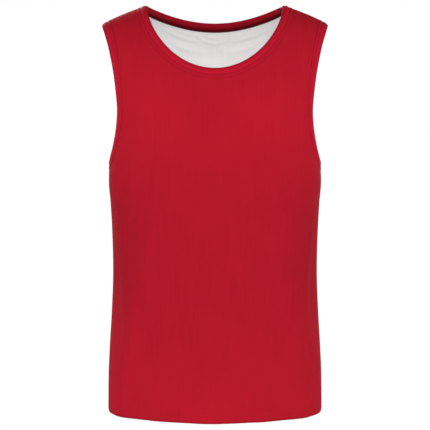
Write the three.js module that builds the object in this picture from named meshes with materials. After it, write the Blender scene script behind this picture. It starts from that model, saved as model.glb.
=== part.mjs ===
// A reversible training bib: a sleeveless top of two mesh layers, red outside and white inside,
// filled out as if worn. Both layers end in the same red binding at the neck and the armholes,
// and each layer has its own turned hem. The front of the bib faces -Y, +X is to the right of
// somebody who looks at the front, and +Z is up. The origin lies midway between the two
// shoulders, at the level where they carry the bib. Lengths are in millimetres, and left and
// right in a node's name are the wearer's.
import * as THREE from "three";

const { clamp, lerp, smoothstep, degToRad } = THREE.MathUtils;

// Cut of the bib. "Down" is measured from the neck point, where a shoulder seam meets the neck.
// The hem rises a little from the middle to the side seams.
const BODY_LENGTH = 690;
const NECK_POINT_UP = 18;
const ARMHOLE_DEPTH = 262;
const NECK_HALF_WIDTH = 115;
const SHOULDER_HALF_WIDTH = 189.6;
const SHOULDER_DROP = 31.5;
const BINDING_WIDTH = 16;
const HEM_DEPTH = 15;
const HEM_RISE = 3.5;

// Cloth: the wall of one layer, the gap between pieces, and how far a fold bulges past an edge.
const CLOTH = 1;
const GAP = 0.3;
const SEAM_PULL = GAP / 2;
const HEM_BULGE = 0.7;
const HEM_PLIES = 2;

// Rings of the body below the armholes: half the width, and the depth in front of and behind
// the side seams.
const RINGS = [
  { down: 262, half: 178.5, front: 133, back: 117 },
  { down: 300, half: 180, front: 132.2, back: 116 },
  { down: 330, half: 177.6, front: 130.3, back: 113.5 },
  { down: 380, half: 175, front: 126.5, back: 108.5 },
  { down: 450, half: 173.6, front: 123, back: 104.5 },
  { down: 517, half: 176, front: 122, back: 104.5 },
  { down: 569, half: 179, front: 123, back: 106.5 },
  { down: 621, half: 181.2, front: 124, back: 108.5 },
  { down: 690, half: 182, front: 124, back: 109 },
];

// Above the armholes the body closes to a ridge along the shoulders. Rise runs from 0 at the
// underarm to 1 on the ridge, and half is the half width that the ring would have there.
const CHEST = [
  { rise: 0, half: 178.5 },
  { rise: 0.36, half: 175 },
  { rise: 0.6, half: 182 },
  { rise: 0.8, half: 194.5 },
  { rise: 0.9, half: 203 },
  { rise: 1, half: 213 },
];
const RIDGE_HALF = CHEST[CHEST.length - 1].half;

// The ridge itself: how far down it lies at a place across.
const RIDGE = [
  { across: 0, down: -12 },
  { across: 80, down: -8 },
  { across: NECK_HALF_WIDTH, down: 0 },
  { across: 122, down: 1.6 },
  { across: 150, down: 12 },
  { across: 174, down: 22.4 },
  { across: SHOULDER_HALF_WIDTH, down: SHOULDER_DROP },
  { across: RIDGE_HALF, down: 45 },
];

// Squareness of the rings and of the arch over the shoulders, as powers of a superellipse.
const RING_POWER = 2.4;
const RING_POWER_LOST_AT_HEM = 0.35;
const RING_POWER_ADDED_AT_RIDGE = 0.8;
const ARCH_POWER = 2;
const ARCH_POWER_ADDED_AT_SIDES = 0.8;

// Where each armhole's edge lies, from the side seam up to the shoulder.
const FRONT_ARMHOLE = [
  { down: 257.8, half: 176.3 },
  { down: 252, half: 174.2 },
  { down: 242, half: 171 },
  { down: 227, half: 167.4 },
  { down: 207, half: 164 },
  { down: 180, half: 162 },
  { down: 155, half: 163.6 },
  { down: 124, half: 167.2 },
  { down: 90, half: 173.2 },
  { down: 56, half: 182 },
];
const BACK_ARMHOLE = [
  { down: 258, half: 176.8 },
  { down: 252.5, half: 174.8 },
  { down: 242, half: 172 },
  { down: 226, half: 169 },
  { down: 205, half: 167 },
  { down: 180, half: 165.6 },
  { down: 155, half: 166.6 },
  { down: 124, half: 170 },
  { down: 90, half: 175.6 },
  { down: 56, half: 183.8 },
];

// The largest soft folds: ridges that start at a level (0 at the hem, 1 at the underarm), turned
// from the middle by the angle "head", and grow to their full height at the hem, at "foot".
const FRONT_FOLDS = [
  { top: 1.25, head: -22, foot: -58, width: 8, height: 4.2 },
  { top: 0.8, head: -24, foot: -31, width: 7, height: 2.6 },
  { top: 0.6, head: -4, foot: -3, width: 9, height: 2.8 },
  { top: 0.75, head: 20, foot: 27, width: 7, height: 2.4 },
  { top: 1.25, head: 21, foot: 52, width: 8, height: 4 },
];
const BACK_FOLDS = [
  { top: 1.2, head: -30, foot: -54, width: 8, height: 4.4 },
  { top: 0.9, head: -12, foot: -22, width: 9, height: 3.4 },
  { top: 0.7, head: 4, foot: 6, width: 8, height: 2.4 },
  { top: 0.85, head: 22, foot: 30, width: 8, height: 3 },
  { top: 1.2, head: 34, foot: 58, width: 8, height: 4 },
];

// The two halves of the body. The neckline's depth follows cos(angle) to its power, and the
// corner angle is where the net turns from the neck's bottom to its side. The row that starts
// there ends on the armhole at the middle, so far down.
const FRONT = {
  name: "front",
  facing: -1,
  neckDrop: 112,
  neckPower: 1.22,
  neckCorner: degToRad(43),
  armholeMiddle: 122,
  armhole: FRONT_ARMHOLE,
  folds: FRONT_FOLDS,
};
const BACK = {
  name: "back",
  facing: 1,
  neckDrop: 24.5,
  neckPower: 2.3,
  neckCorner: degToRad(50),
  armholeMiddle: 64,
  armhole: BACK_ARMHOLE,
  folds: BACK_FOLDS,
};

// The net over one half of a panel, in cells. Columns run from the middle line to the side seam
// and rows from the hem to the shoulder.
const NECK_CELLS = 5;
const STRAP_CELLS = 6;
const SIDE_CELLS = 5;
const BODY_ROWS = 12;
const CHEST_ROWS = 6;
const SHOULDER_ROWS = 6;
const STRAP_END = NECK_CELLS + STRAP_CELLS;
const COLUMNS = STRAP_END + SIDE_CELLS;
const CHEST_TOP = BODY_ROWS + CHEST_ROWS;
const ROWS = CHEST_TOP + SHOULDER_ROWS;

// Where the net's main lines lie: turn at the hem in degrees, level on the middle line, and how
// far down the armhole has its lower corner.
const HEM_NECK_TURN = 25;
const HEM_STRAP_TURN = 62;
const UNDERARM_ROW_LEVEL = 0.9;
const ARMHOLE_CORNER_DOWN = 248;

const QUARTER_TURN = Math.PI / 2;
const EPSILON = 1e-9;

// Reads a column of a table at a place between its rows, on a smooth curve through them.
function read(table, key, column, at) {
  const last = table.length - 1;
  let k = 0;
  while (k < last - 1 && at > table[k + 1][key]) k += 1;
  const slope = (row) => {
    const before = table[Math.max(row - 1, 0)];
    const after = table[Math.min(row + 1, last)];
    return (after[column] - before[column]) / (after[key] - before[key]);
  };
  const gap = table[k + 1][key] - table[k][key];
  const t = clamp((at - table[k][key]) / gap, 0, 1);
  const ease = t * t * (3 - 2 * t);
  const leave = t * (1 - t) * (1 - t) * gap * slope(k);
  const arrive = t * t * (1 - t) * gap * slope(k + 1);
  return lerp(table[k][column], table[k + 1][column], ease) + leave - arrive;
}

// The point at a polar angle on a superellipse of size one.
function superellipse(angle, power) {
  const along = Math.abs(Math.cos(angle));
  const across = Math.abs(Math.sin(angle));
  const radius = (along ** power + across ** power) ** (-1 / power);
  return { along: along * radius, across: across * radius * Math.sign(angle) };
}

function ringPower(level) {
  const lost = RING_POWER_LOST_AT_HEM * clamp(1 - level, 0, 1) ** 2;
  return RING_POWER - lost + RING_POWER_ADDED_AT_RIDGE * clamp(level - 1, 0, 1) ** 2;
}

const archPower = (turn) => ARCH_POWER + ARCH_POWER_ADDED_AT_SIDES * Math.sin(turn) ** 2;

// How far the soft folds lift the cloth. They fade out at the side seams.
function foldHeight(panel, turn, level) {
  const fade = Math.sqrt(Math.abs(Math.cos(turn)));
  let height = 0;
  for (const fold of panel.folds) {
    const t = clamp(level / fold.top, 0, 1);
    const middle = degToRad(lerp(fold.foot, fold.head, t));
    const grown = 1 - smoothstep(t, 0, 1);
    const away = (turn - middle) / degToRad(fold.width);
    height += fold.height * grown * Math.exp(-away * away);
  }
  return height * fade;
}

// The outside of the bib. Turn runs round half the body, from -90 degrees at the side seam on -X
// to 90 degrees at the other, and level from 0 at the hem over 1 at the underarm to 2 on the ridge.
function surface(panel, turn, level) {
  const ring = superellipse(turn, ringPower(level));
  const hem = BODY_LENGTH - HEM_RISE * Math.abs(Math.sin(turn));
  let down = lerp(hem, ARMHOLE_DEPTH, level);
  let half = read(RINGS, "down", "half", down);
  let depth = read(RINGS, "down", panel.name, down);
  if (level > 1) {
    const arch = superellipse((level - 1) * QUARTER_TURN, archPower(turn));
    const rise = arch.across;
    const ridge = read(RIDGE, "across", "down", Math.abs(ring.across) * RIDGE_HALF);
    down = lerp(ARMHOLE_DEPTH, ridge, rise);
    half = read(CHEST, "rise", "half", rise);
    depth = RINGS[0][panel.name] * arch.along;
  }
  const power = ringPower(level) - 1;
  const outX = (Math.sign(turn) * Math.abs(ring.across) ** power) / half;
  const outY = ring.along ** power / RINGS[0][panel.name];
  const lift = foldHeight(panel, turn, level) / Math.hypot(outX, outY);
  return new THREE.Vector3(
    half * ring.across + lift * outX,
    panel.facing * (depth * ring.along + lift * outY),
    NECK_POINT_UP - down,
  );
}

// Finds turn and level above the armholes from a distance across and a distance down.
function chartOf(across, down) {
  let turn = Math.atan2(across, RIDGE_HALF);
  let level = 1.5;
  for (let pass = 0; pass < 80; pass += 1) {
    const arch = superellipse((level - 1) * QUARTER_TURN, archPower(turn));
    const place = clamp(across / read(CHEST, "rise", "half", arch.across), 0, 1);
    const power = ringPower(level);
    turn = Math.atan2(place, (1 - place ** power) ** (1 / power));
    const ridge = read(RIDGE, "across", "down", place * RIDGE_HALF);
    const rise = clamp((ARMHOLE_DEPTH - down) / (ARMHOLE_DEPTH - ridge), 0, 1);
    const bow = archPower(turn);
    const angle = Math.atan2(rise, (1 - rise ** bow) ** (1 / bow));
    level = 1 + angle / QUARTER_TURN;
  }
  return new THREE.Vector2(turn, level);
}

const UNDERARM = new THREE.Vector2(QUARTER_TURN, 1);
const SHOULDER_TIP = new THREE.Vector2(chartOf(SHOULDER_HALF_WIDTH, SHOULDER_DROP).x, 2);
const NECK_POINT = new THREE.Vector2(chartOf(NECK_HALF_WIDTH, 0).x, 2);

// The neckline of a panel, from its middle to the neck point.
function neckline(panel) {
  return (t) => {
    if (1 - t < EPSILON) return NECK_POINT.clone();
    const angle = t * QUARTER_TURN;
    const down = panel.neckDrop * Math.cos(angle) ** panel.neckPower;
    return chartOf(NECK_HALF_WIDTH * Math.sin(angle), down);
  };
}

// The edge of a panel's armhole, from the side seam to the shoulder. The first knot is a mirrored
// one past the seam, so that the edge runs level where the two panels meet.
function armholeEdge(panel) {
  const inner = panel.armhole.map((row) => chartOf(row.half, row.down));
  const pastSeam = new THREE.Vector2(2 * QUARTER_TURN - inner[0].x, inner[0].y);
  const knots = [pastSeam, UNDERARM, ...inner, SHOULDER_TIP];
  const places = knots.map((p) => new THREE.Vector3(p.x, p.y, 0));
  const curve = new THREE.CatmullRomCurve3(places, false, "centripetal");
  const atSeam = 1 / (knots.length - 1);
  return (t) => {
    if (t < EPSILON) return UNDERARM.clone();
    const p = curve.getPoint(lerp(atSeam, 1, t));
    return new THREE.Vector2(Math.min(p.x, QUARTER_TURN), Math.min(p.y, 2));
  };
}

// The share of a rising path at which it lies so far down.
function shareAt(panel, path, down) {
  let low = 0;
  let high = 1;
  for (let pass = 0; pass < 40; pass += 1) {
    const middle = (low + high) / 2;
    const p = path(middle);
    if (NECK_POINT_UP - surface(panel, p.x, p.y).z > down) low = middle;
    else high = middle;
  }
  return low;
}

// A straight stretch of the chart, bent by a power so that it can leave a corner steeply.
function line(from, to, bend = 1) {
  return (t) => new THREE.Vector2(lerp(from.x, to.x, t), lerp(from.y, to.y, t ** bend));
}

// Divides a path on the cloth between two shares into cells of equal length, but for a first
// cell whose width can be given in millimetres. It returns the shares.
function divide(panel, path, from, to, cells, first = 0) {
  const steps = 240;
  const shareOf = (step) => lerp(from, to, step / steps);
  const lengths = [0];
  let before = null;
  for (let step = 0; step <= steps; step += 1) {
    const p = path(shareOf(step));
    const here = surface(panel, p.x, p.y);
    if (before) lengths.push(lengths[step - 1] + here.distanceTo(before));
    before = here;
  }
  const total = lengths[steps];
  const skipped = first > 0 ? 1 : 0;
  const found = [from];
  for (let cell = 1; cell <= cells; cell += 1) {
    const want = first + ((cell - skipped) * (total - first)) / (cells - skipped);
    let step = 1;
    while (step < steps && lengths[step] < want) step += 1;
    const part = (want - lengths[step - 1]) / (lengths[step] - lengths[step - 1]);
    found.push(shareOf(step - 1 + part));
  }
  return found;
}

// The points on a whole path, in cells of equal length.
function pointsAlong(panel, path, cells, first = 0) {
  return divide(panel, path, 0, 1, cells, first).map(path);
}

// How the outside of the bib runs at a chart point, for a small step in turn and in level.
function slopes(panel, chart) {
  const step = 1e-4;
  const here = surface(panel, chart.x, chart.y);
  const byTurn = here.clone().sub(surface(panel, chart.x - step, chart.y)).divideScalar(step);
  const byLevel = here.clone().sub(surface(panel, chart.x, chart.y - step)).divideScalar(step);
  return { here, byTurn, byLevel };
}

// The chart point that lies beside a path, a binding's width into the cloth. Side is 1 where
// the cloth is on the right of the path, and -1 where it is on the left.
function beside(panel, path, share, side) {
  const chart = path(share);
  const { here, byTurn, byLevel } = slopes(panel, chart);
  const ahead = path(Math.min(share + 1e-3, 1));
  const behind = path(Math.max(share - 1e-3, 0));
  const run = surface(panel, ahead.x, ahead.y).sub(surface(panel, behind.x, behind.y));
  const inward = run.cross(byTurn.clone().cross(byLevel)).normalize();
  const target = here.addScaledVector(inward, side * BINDING_WIDTH);
  for (let pass = 0; pass < 8; pass += 1) {
    const slope = slopes(panel, chart);
    const off = target.clone().sub(slope.here);
    const [tt, tl] = [slope.byTurn.dot(slope.byTurn), slope.byTurn.dot(slope.byLevel)];
    const ll = slope.byLevel.dot(slope.byLevel);
    const [t, l] = [off.dot(slope.byTurn), off.dot(slope.byLevel)];
    const scale = tt * ll - tl * tl;
    chart.x = Math.min(chart.x + (t * ll - l * tl) / scale, QUARTER_TURN);
    chart.y = Math.min(chart.y + (l * tt - t * tl) / scale, 2);
  }
  return chart;
}

// The two lines that a binding runs between: the edge of the cloth, and the line beside it.
// Each has a foot and a side, which meet in a corner of the net. Beside the corner the inner
// line has a point more on each hand, so that the binding keeps its width there.
function bandLines(panel, path, foot, side, hand) {
  const corner = side[0];
  const before = lerp(corner, foot[foot.length - 2], 1 / 3);
  const after = lerp(corner, side[1], 1 / 3);
  const inner = (share) => beside(panel, path, share, hand);
  return {
    foot: foot.map(path),
    side: side.map(path),
    innerFoot: [...foot.slice(0, -1), before, corner].map(inner),
    innerSide: [corner, after, ...side.slice(1)].map(inner),
  };
}

// Shares along a line of chart points: 0 at its start and 1 at its end.
function shares(points) {
  const sums = [0];
  for (let k = 1; k < points.length; k += 1) {
    sums.push(sums[k - 1] + points[k].distanceTo(points[k - 1]));
  }
  return sums.map((sum) => sum / sums[sums.length - 1]);
}

// Fills a four-sided stretch of the net from the lines of points along its four sides.
function fill(grid, column, row, { bottom, top, left, right }) {
  const acrossLow = shares(bottom);
  const acrossHigh = shares(top);
  const upLeft = shares(left);
  const upRight = shares(right);
  const corners = [bottom[0], bottom[bottom.length - 1], top[0], top[top.length - 1]];
  for (let i = 0; i < bottom.length; i += 1) {
    for (let j = 0; j < left.length; j += 1) {
      const along = j / (left.length - 1);
      const u = lerp(acrossLow[i], acrossHigh[i], along);
      const v = lerp(upLeft[j], upRight[j], u);
      const p = new THREE.Vector2();
      p.addScaledVector(bottom[i], 1 - v).addScaledVector(top[i], v);
      p.addScaledVector(left[j], 1 - u).addScaledVector(right[j], u);
      p.addScaledVector(corners[0], -(1 - u) * (1 - v));
      p.addScaledVector(corners[1], -u * (1 - v));
      p.addScaledVector(corners[2], -(1 - u) * v);
      p.addScaledVector(corners[3], -u * v);
      grid[column + i][row + j] = p;
    }
  }
}

// The chart points of half a panel's net, by column and row.
function chartGrid(panel) {
  const grid = Array.from({ length: COLUMNS + 1 }, () => Array(ROWS + 1).fill(null));
  const cut = (path, from, to, cells) => divide(panel, path, from, to, cells);

  const neckPath = neckline(panel);
  const neckTurn = panel.neckCorner / QUARTER_TURN;
  const neck = bandLines(
    panel,
    neckPath,
    cut(neckPath, 0, neckTurn, NECK_CELLS),
    cut(neckPath, neckTurn, 1, SHOULDER_ROWS),
    1,
  );
  neck.innerFoot[0].x = 0;

  const armPath = armholeEdge(panel);
  const armTurn = shareAt(panel, armPath, ARMHOLE_CORNER_DOWN);
  const armMiddle = shareAt(panel, armPath, panel.armholeMiddle);
  const arm = bandLines(
    panel,
    armPath,
    cut(armPath, 0, armTurn, SIDE_CELLS),
    [
      ...cut(armPath, armTurn, armMiddle, CHEST_ROWS),
      ...cut(armPath, armMiddle, 1, SHOULDER_ROWS).slice(1),
    ],
    -1,
  );

  // On the seams, the inner lines end where the other panel's do.
  const atHem = (degrees) => new THREE.Vector2(degToRad(degrees), 0);
  const onSeam = (from, to) => pointsAlong(panel, line(from, to), 2, BINDING_WIDTH)[1];
  const neckTop = onSeam(NECK_POINT, SHOULDER_TIP);
  const armTop = onSeam(SHOULDER_TIP, NECK_POINT);
  neck.innerSide[SHOULDER_ROWS + 1] = neckTop;
  arm.innerSide[CHEST_ROWS + SHOULDER_ROWS + 1] = armTop;
  arm.innerFoot[0] = onSeam(UNDERARM, atHem(90));

  // The edges of the cloth.
  neck.foot.forEach((p, k) => (grid[k][CHEST_TOP] = p));
  neck.side.forEach((p, k) => (grid[NECK_CELLS][CHEST_TOP + k] = p));
  arm.foot.forEach((p, k) => (grid[COLUMNS - k][BODY_ROWS] = p));
  arm.side.forEach((p, k) => (grid[STRAP_END][BODY_ROWS + k] = p));

  // Below the armholes, and the row that runs under them to the middle.
  const middle = (level) => new THREE.Vector2(0, level);
  const armCorner = arm.innerSide[0];
  const hemTurns = [0, HEM_NECK_TURN, HEM_STRAP_TURN, 90];
  const hemCells = [NECK_CELLS, STRAP_CELLS, SIDE_CELLS];
  const hem = hemCells.flatMap((cells, k) =>
    pointsAlong(panel, line(atHem(hemTurns[k]), atHem(hemTurns[k + 1])), cells).slice(0, -1),
  );
  hem.push(atHem(90));
  const underarmStart = middle(UNDERARM_ROW_LEVEL);
  const underarmRow = pointsAlong(panel, line(underarmStart, armCorner, 2), STRAP_END - 1);
  fill(grid, 0, 0, {
    bottom: hem,
    top: [...underarmRow, ...arm.innerFoot.slice(0, -1).reverse()],
    left: pointsAlong(panel, line(middle(0), underarmStart), BODY_ROWS - 1, HEM_DEPTH),
    right: pointsAlong(panel, line(atHem(90), arm.innerFoot[0]), BODY_ROWS - 1, HEM_DEPTH),
  });

  // Between the armholes, up to the neck.
  const armNear = arm.innerSide.slice(0, CHEST_ROWS + 1);
  const chestPath = line(neck.innerSide[0], armNear[CHEST_ROWS]);
  const chestRow = pointsAlong(panel, chestPath, STRAP_CELLS - 2);
  fill(grid, 0, BODY_ROWS - 1, {
    bottom: underarmRow,
    top: [...neck.innerFoot, ...chestRow.slice(1)],
    left: pointsAlong(panel, line(underarmStart, neck.innerFoot[0]), CHEST_ROWS),
    right: armNear,
  });

  // The strap over the shoulder.
  fill(grid, NECK_CELLS + 1, CHEST_TOP - 1, {
    bottom: chestRow,
    top: pointsAlong(panel, line(neckTop, armTop), STRAP_CELLS - 2),
    left: neck.innerSide,
    right: arm.innerSide.slice(CHEST_ROWS),
  });
  return grid;
}

// The net of the whole bib: its points, the faces between them and each point's normal. Points
// of the front and the back that fall together on a seam are one point.
const net = { points: [], seam: [], rows: [], normals: [], faces: [] };
const pointNumbers = new Map();

function addPoint(panel, column, row, chart) {
  const turn = column < 0 ? -chart.x : chart.x;
  const p = surface(panel, turn, chart.y);
  const onSeam = Math.abs(p.y) < 0.01;
  if (onSeam) p.y = 0;
  const key = p.toArray().map((x) => Math.round(x * 50)).join();
  if (!pointNumbers.has(key)) {
    pointNumbers.set(key, net.points.length);
    net.points.push(p);
    net.seam.push(onSeam);
    net.rows.push(row);
  }
  return pointNumbers.get(key);
}

function addPanel(panel) {
  const grid = chartGrid(panel);
  const at = (column, row) => addPoint(panel, column, row, grid[Math.abs(column)][row]);
  for (let column = -COLUMNS; column < COLUMNS; column += 1) {
    const cell = column < 0 ? -column - 1 : column;
    for (let row = 0; row < ROWS; row += 1) {
      if (cell >= STRAP_END && row >= BODY_ROWS) continue;
      if (cell < NECK_CELLS && row >= CHEST_TOP) continue;
      const corners = [
        at(column, row),
        at(column + 1, row),
        at(column + 1, row + 1),
        at(column, row + 1),
      ];
      if (panel.facing > 0) corners.reverse();
      const [a, b, c, d] = corners.map((k) => net.points[k]);
      if (b.distanceTo(d) < a.distanceTo(c)) corners.push(corners.shift());
      net.faces.push({ corners, panel, cell, row, right: column >= 0 });
    }
  }
}

addPanel(FRONT);
addPanel(BACK);

const edgeKey = (a, b) => a + ">" + b;

// The edges of a set of faces that have a face on one side only.
function rim(faces) {
  const edges = new Map();
  for (const { corners } of faces) {
    corners.forEach((a, k) => {
      const b = corners[(k + 1) % corners.length];
      edges.set(edgeKey(a, b), [a, b]);
    });
  }
  return [...edges.values()].filter(([a, b]) => !edges.has(edgeKey(b, a)));
}

// Each point's normal is the mean of its faces' normals, weighted by their area.
net.normals = net.points.map(() => new THREE.Vector3());
for (const { corners } of net.faces) {
  const [a, b, c, d] = corners.map((k) => net.points[k]);
  const normal = c.clone().sub(a).cross(d.clone().sub(b));
  corners.forEach((k) => net.normals[k].add(normal));
}
net.normals.forEach((normal) => normal.normalize());

// Past each open edge of the bib, the direction that leaves the cloth along its surface.
const openEdges = new Set();
const outward = new Map();
for (const [a, b] of rim(net.faces)) {
  openEdges.add(edgeKey(a, b));
  const run = net.points[b].clone().sub(net.points[a]);
  for (const k of [a, b]) {
    const away = run.clone().cross(net.normals[k]).normalize();
    outward.set(k, (outward.get(k) ?? new THREE.Vector3()).add(away));
  }
}
outward.forEach((away) => away.normalize());

// Makes one closed piece from one or two walls of cloth. Each wall covers some faces of the net,
// between an upper and a lower height over it. Where both walls reach an open edge they join in
// a fold, which starts and ends at the distances past the edge that "fold" gives.
function piece(over, under, fold, pulled) {
  const positions = [];
  const triangles = [];
  const numbers = new Map();
  const vertex = (k, height, reach) => {
    const key = [k, height.toFixed(4), reach].join();
    if (!numbers.has(key)) {
      const p = net.points[k].clone().addScaledVector(net.normals[k], height);
      if (reach) p.addScaledVector(outward.get(k), reach);
      if (pulled && net.seam[k]) p.y += pulled.facing * SEAM_PULL;
      numbers.set(key, positions.length / 3);
      positions.push(p.x, p.y, p.z);
    }
    return numbers.get(key);
  };
  const quad = (a, b, c, d) => triangles.push(a, b, c, a, c, d);

  const folded = new Set();
  if (under) {
    const below = new Set(rim(under.faces).map(([a, b]) => edgeKey(a, b)));
    for (const [a, b] of rim(over.faces)) {
      const key = edgeKey(a, b);
      if (below.has(key) && openEdges.has(key)) folded.add(key);
    }
  }
  const foldPoints = new Set([...folded].flatMap((key) => key.split(">").map(Number)));
  const startOf = (k) => (foldPoints.has(k) ? fold.start : 0);

  for (const wall of under ? [over, under] : [over]) {
    const top = (k) => vertex(k, wall.upper(k), startOf(k));
    const low = (k) => vertex(k, wall.lower(k), startOf(k));
    for (const { corners } of wall.faces) {
      const [a, b, c, d] = corners;
      quad(top(a), top(b), top(c), top(d));
      quad(low(a), low(d), low(c), low(b));
    }
    for (const [a, b] of rim(wall.faces)) {
      if (!folded.has(edgeKey(a, b))) quad(low(a), low(b), top(b), top(a));
    }
  }

  // The fold's section at a point, from the lower side of the under wall round to the upper
  // side of the over wall.
  const section = (k) => [
    vertex(k, under.lower(k), fold.start),
    vertex(k, (under.lower(k) + under.upper(k)) / 2, fold.end),
    vertex(k, (over.lower(k) + over.upper(k)) / 2, fold.end),
    vertex(k, over.upper(k), fold.start),
  ];
  const inside = (k) => [
    vertex(k, over.lower(k), fold.start),
    vertex(k, under.upper(k), fold.start),
  ];
  const starts = new Set();
  const ends = new Set();
  for (const key of folded) {
    const [a, b] = key.split(">").map(Number);
    starts.add(a);
    ends.add(b);
    const [sa, sb] = [section(a), section(b)];
    for (let k = 0; k < 3; k += 1) quad(sa[k], sb[k], sb[k + 1], sa[k + 1]);
    const [ia, ib] = [inside(a), inside(b)];
    quad(ia[0], ib[0], ib[1], ia[1]);
  }
  for (const k of foldPoints) {
    if (starts.has(k) && ends.has(k)) continue;
    const s = section(k);
    const [overLow, underTop] = inside(k);
    const cap = [s[0], s[1], underTop, s[1], s[2], underTop, s[2], overLow, underTop];
    cap.push(s[2], s[3], overLow);
    if (ends.has(k)) cap.reverse();
    triangles.push(...cap);
  }

  const geometry = new THREE.BufferGeometry();
  geometry.setAttribute("position", new THREE.Float32BufferAttribute(positions, 3));
  geometry.setIndex(triangles);
  geometry.computeVertexNormals();
  return geometry;
}

// Heights of the plies, measured outwards from the outside of the red layer.
const constant = (height) => () => height;
const INNER_TOP = -CLOTH - GAP;
const PLY = CLOTH + GAP;

// At the hem the white layer steps in, to make room for the two turnings between the layers.
const stepIn = (k) => HEM_PLIES * PLY * clamp((3 - net.rows[k]) / 2, 0, 1);
const innerTop = (k) => INNER_TOP - stepIn(k);
const innerLow = (k) => innerTop(k) - CLOTH;

const panelFaces = (panel) => net.faces.filter((face) => face.panel === panel);
const hemFaces = (panel) => panelFaces(panel).filter((face) => face.row === 0);

// The red panel: a wall whose turned hem lies inside it.
function outerPanel(panel) {
  const wall = { faces: panelFaces(panel), upper: constant(0), lower: constant(-CLOTH) };
  const turning = {
    faces: hemFaces(panel),
    upper: constant(-PLY),
    lower: constant(-PLY - CLOTH),
  };
  return piece(wall, turning, { start: 0, end: HEM_BULGE }, panel);
}

// The white panel: a wall whose turned hem lies outside it, between the two layers.
function innerPanel(panel) {
  const wall = { faces: panelFaces(panel), upper: innerTop, lower: innerLow };
  const turning = {
    faces: hemFaces(panel),
    upper: (k) => innerTop(k) + PLY,
    lower: (k) => innerTop(k) + GAP,
  };
  return piece(turning, wall, { start: 0, end: HEM_BULGE }, panel);
}

// A binding: a strip folded over the edge of both layers, on all faces that the test picks.
function binding(test) {
  const faces = net.faces.filter(test);
  const over = { faces, upper: constant(GAP + CLOTH), lower: constant(GAP) };
  const under = {
    faces,
    upper: constant(INNER_TOP - CLOTH - GAP),
    lower: constant(INNER_TOP - 2 * CLOTH - GAP),
  };
  return piece(over, under, { start: GAP, end: GAP + CLOTH }, null);
}

const alongNeck = ({ cell, row }) =>
  (cell < NECK_CELLS && row === CHEST_TOP - 1) || (cell === NECK_CELLS && row >= CHEST_TOP - 1);
const alongArmhole = ({ cell, row }) =>
  (cell >= STRAP_END && row === BODY_ROWS - 1) ||
  (cell === STRAP_END - 1 && row >= BODY_ROWS - 1);

const red = new THREE.MeshStandardMaterial({ color: 0xb61a28, roughness: 0.85, metalness: 0 });
const white = new THREE.MeshStandardMaterial({ color: 0xdcd8d7, roughness: 0.9, metalness: 0 });

const group = new THREE.Group();

function add(name, geometry, material) {
  const mesh = new THREE.Mesh(geometry, material);
  mesh.name = name;
  group.add(mesh);
}

add("outer_front", outerPanel(FRONT), red);
add("outer_back", outerPanel(BACK), red);
add("inner_front", innerPanel(FRONT), white);
add("inner_back", innerPanel(BACK), white);
add("neck_binding", binding(alongNeck), red);
add("armhole_binding_left", binding((face) => face.right && alongArmhole(face)), red);
add("armhole_binding_right", binding((face) => !face.right && alongArmhole(face)), red);

export default group;
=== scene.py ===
# %% [markdown]
# # A reversible training bib
#
# The bib is a sleeveless top that two teams can share: it is worn with its red side or its white
# side out. Two layers of light mesh, each with a front and a back, meet in one red binding round
# the neck and round each armhole. At the bottom the layers aren't joined, so each has its own hem.
#
# This lesson shows it red side out, filled out as if somebody wore it. The cloth could come from a
# simulation over a figure, but a shape worked out by rule keeps both layers, the bindings and the
# stitching a fixed distance apart, so that nothing pokes through anything else.

# %% Load the model
import bpy
import numpy as np
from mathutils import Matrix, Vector


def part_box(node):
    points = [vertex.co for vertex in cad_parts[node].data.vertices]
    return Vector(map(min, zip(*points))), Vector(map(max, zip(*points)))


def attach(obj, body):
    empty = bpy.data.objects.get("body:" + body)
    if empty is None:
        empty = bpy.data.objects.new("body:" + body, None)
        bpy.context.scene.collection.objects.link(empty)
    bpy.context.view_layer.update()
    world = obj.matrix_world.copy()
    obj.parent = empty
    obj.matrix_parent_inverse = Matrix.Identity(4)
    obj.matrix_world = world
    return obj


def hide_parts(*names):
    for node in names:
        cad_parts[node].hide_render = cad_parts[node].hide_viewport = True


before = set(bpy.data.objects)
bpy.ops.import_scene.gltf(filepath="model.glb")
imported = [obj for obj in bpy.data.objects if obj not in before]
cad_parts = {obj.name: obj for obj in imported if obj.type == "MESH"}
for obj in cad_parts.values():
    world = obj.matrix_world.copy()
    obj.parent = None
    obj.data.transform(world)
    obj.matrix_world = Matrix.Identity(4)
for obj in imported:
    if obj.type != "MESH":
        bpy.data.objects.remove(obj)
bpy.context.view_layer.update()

scene = bpy.context.scene

# %% [markdown]
# ## The cut
#
# A pattern cutter measures a top downwards from the neck point, where the shoulder seam meets the
# neck, and halves every width. The tables below do the same, in millimetres. The length and the
# width over the shoulders are taken from the solid model, so that cloth and solids stay together.

# %% Driving sizes
MM = 0.001
LOW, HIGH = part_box("outer_front")
HEM_BULGE = 0.7
NECK_POINT_UP = HIGH[2] / MM
BODY_LENGTH = NECK_POINT_UP - LOW[2] / MM - HEM_BULGE
SHOULDER_HALF_WIDTH = HIGH[0] / MM
SHOULDER_DROP = 31.5
ARMHOLE_DEPTH = 262
NECK_HALF_WIDTH = 115
BINDING_WIDTH = 16
HEM_DEPTH = 15
HEM_RISE = 3.5
print(f"body length {BODY_LENGTH:.1f} mm, {2 * SHOULDER_HALF_WIDTH:.1f} mm over the shoulders")

# %% [markdown]
# ## The body as a set of rings
#
# Below the armholes, a horizontal cut through a worn bib is a rounded ring, a little flatter at the
# back than at the front. Above them the ring closes over the shoulders like an arch. The shape
# could be sculpted by eye, but rings of stated width and depth keep it true to the cut. A few are
# enough, because a smooth curve is drawn through each column of a table.

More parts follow.
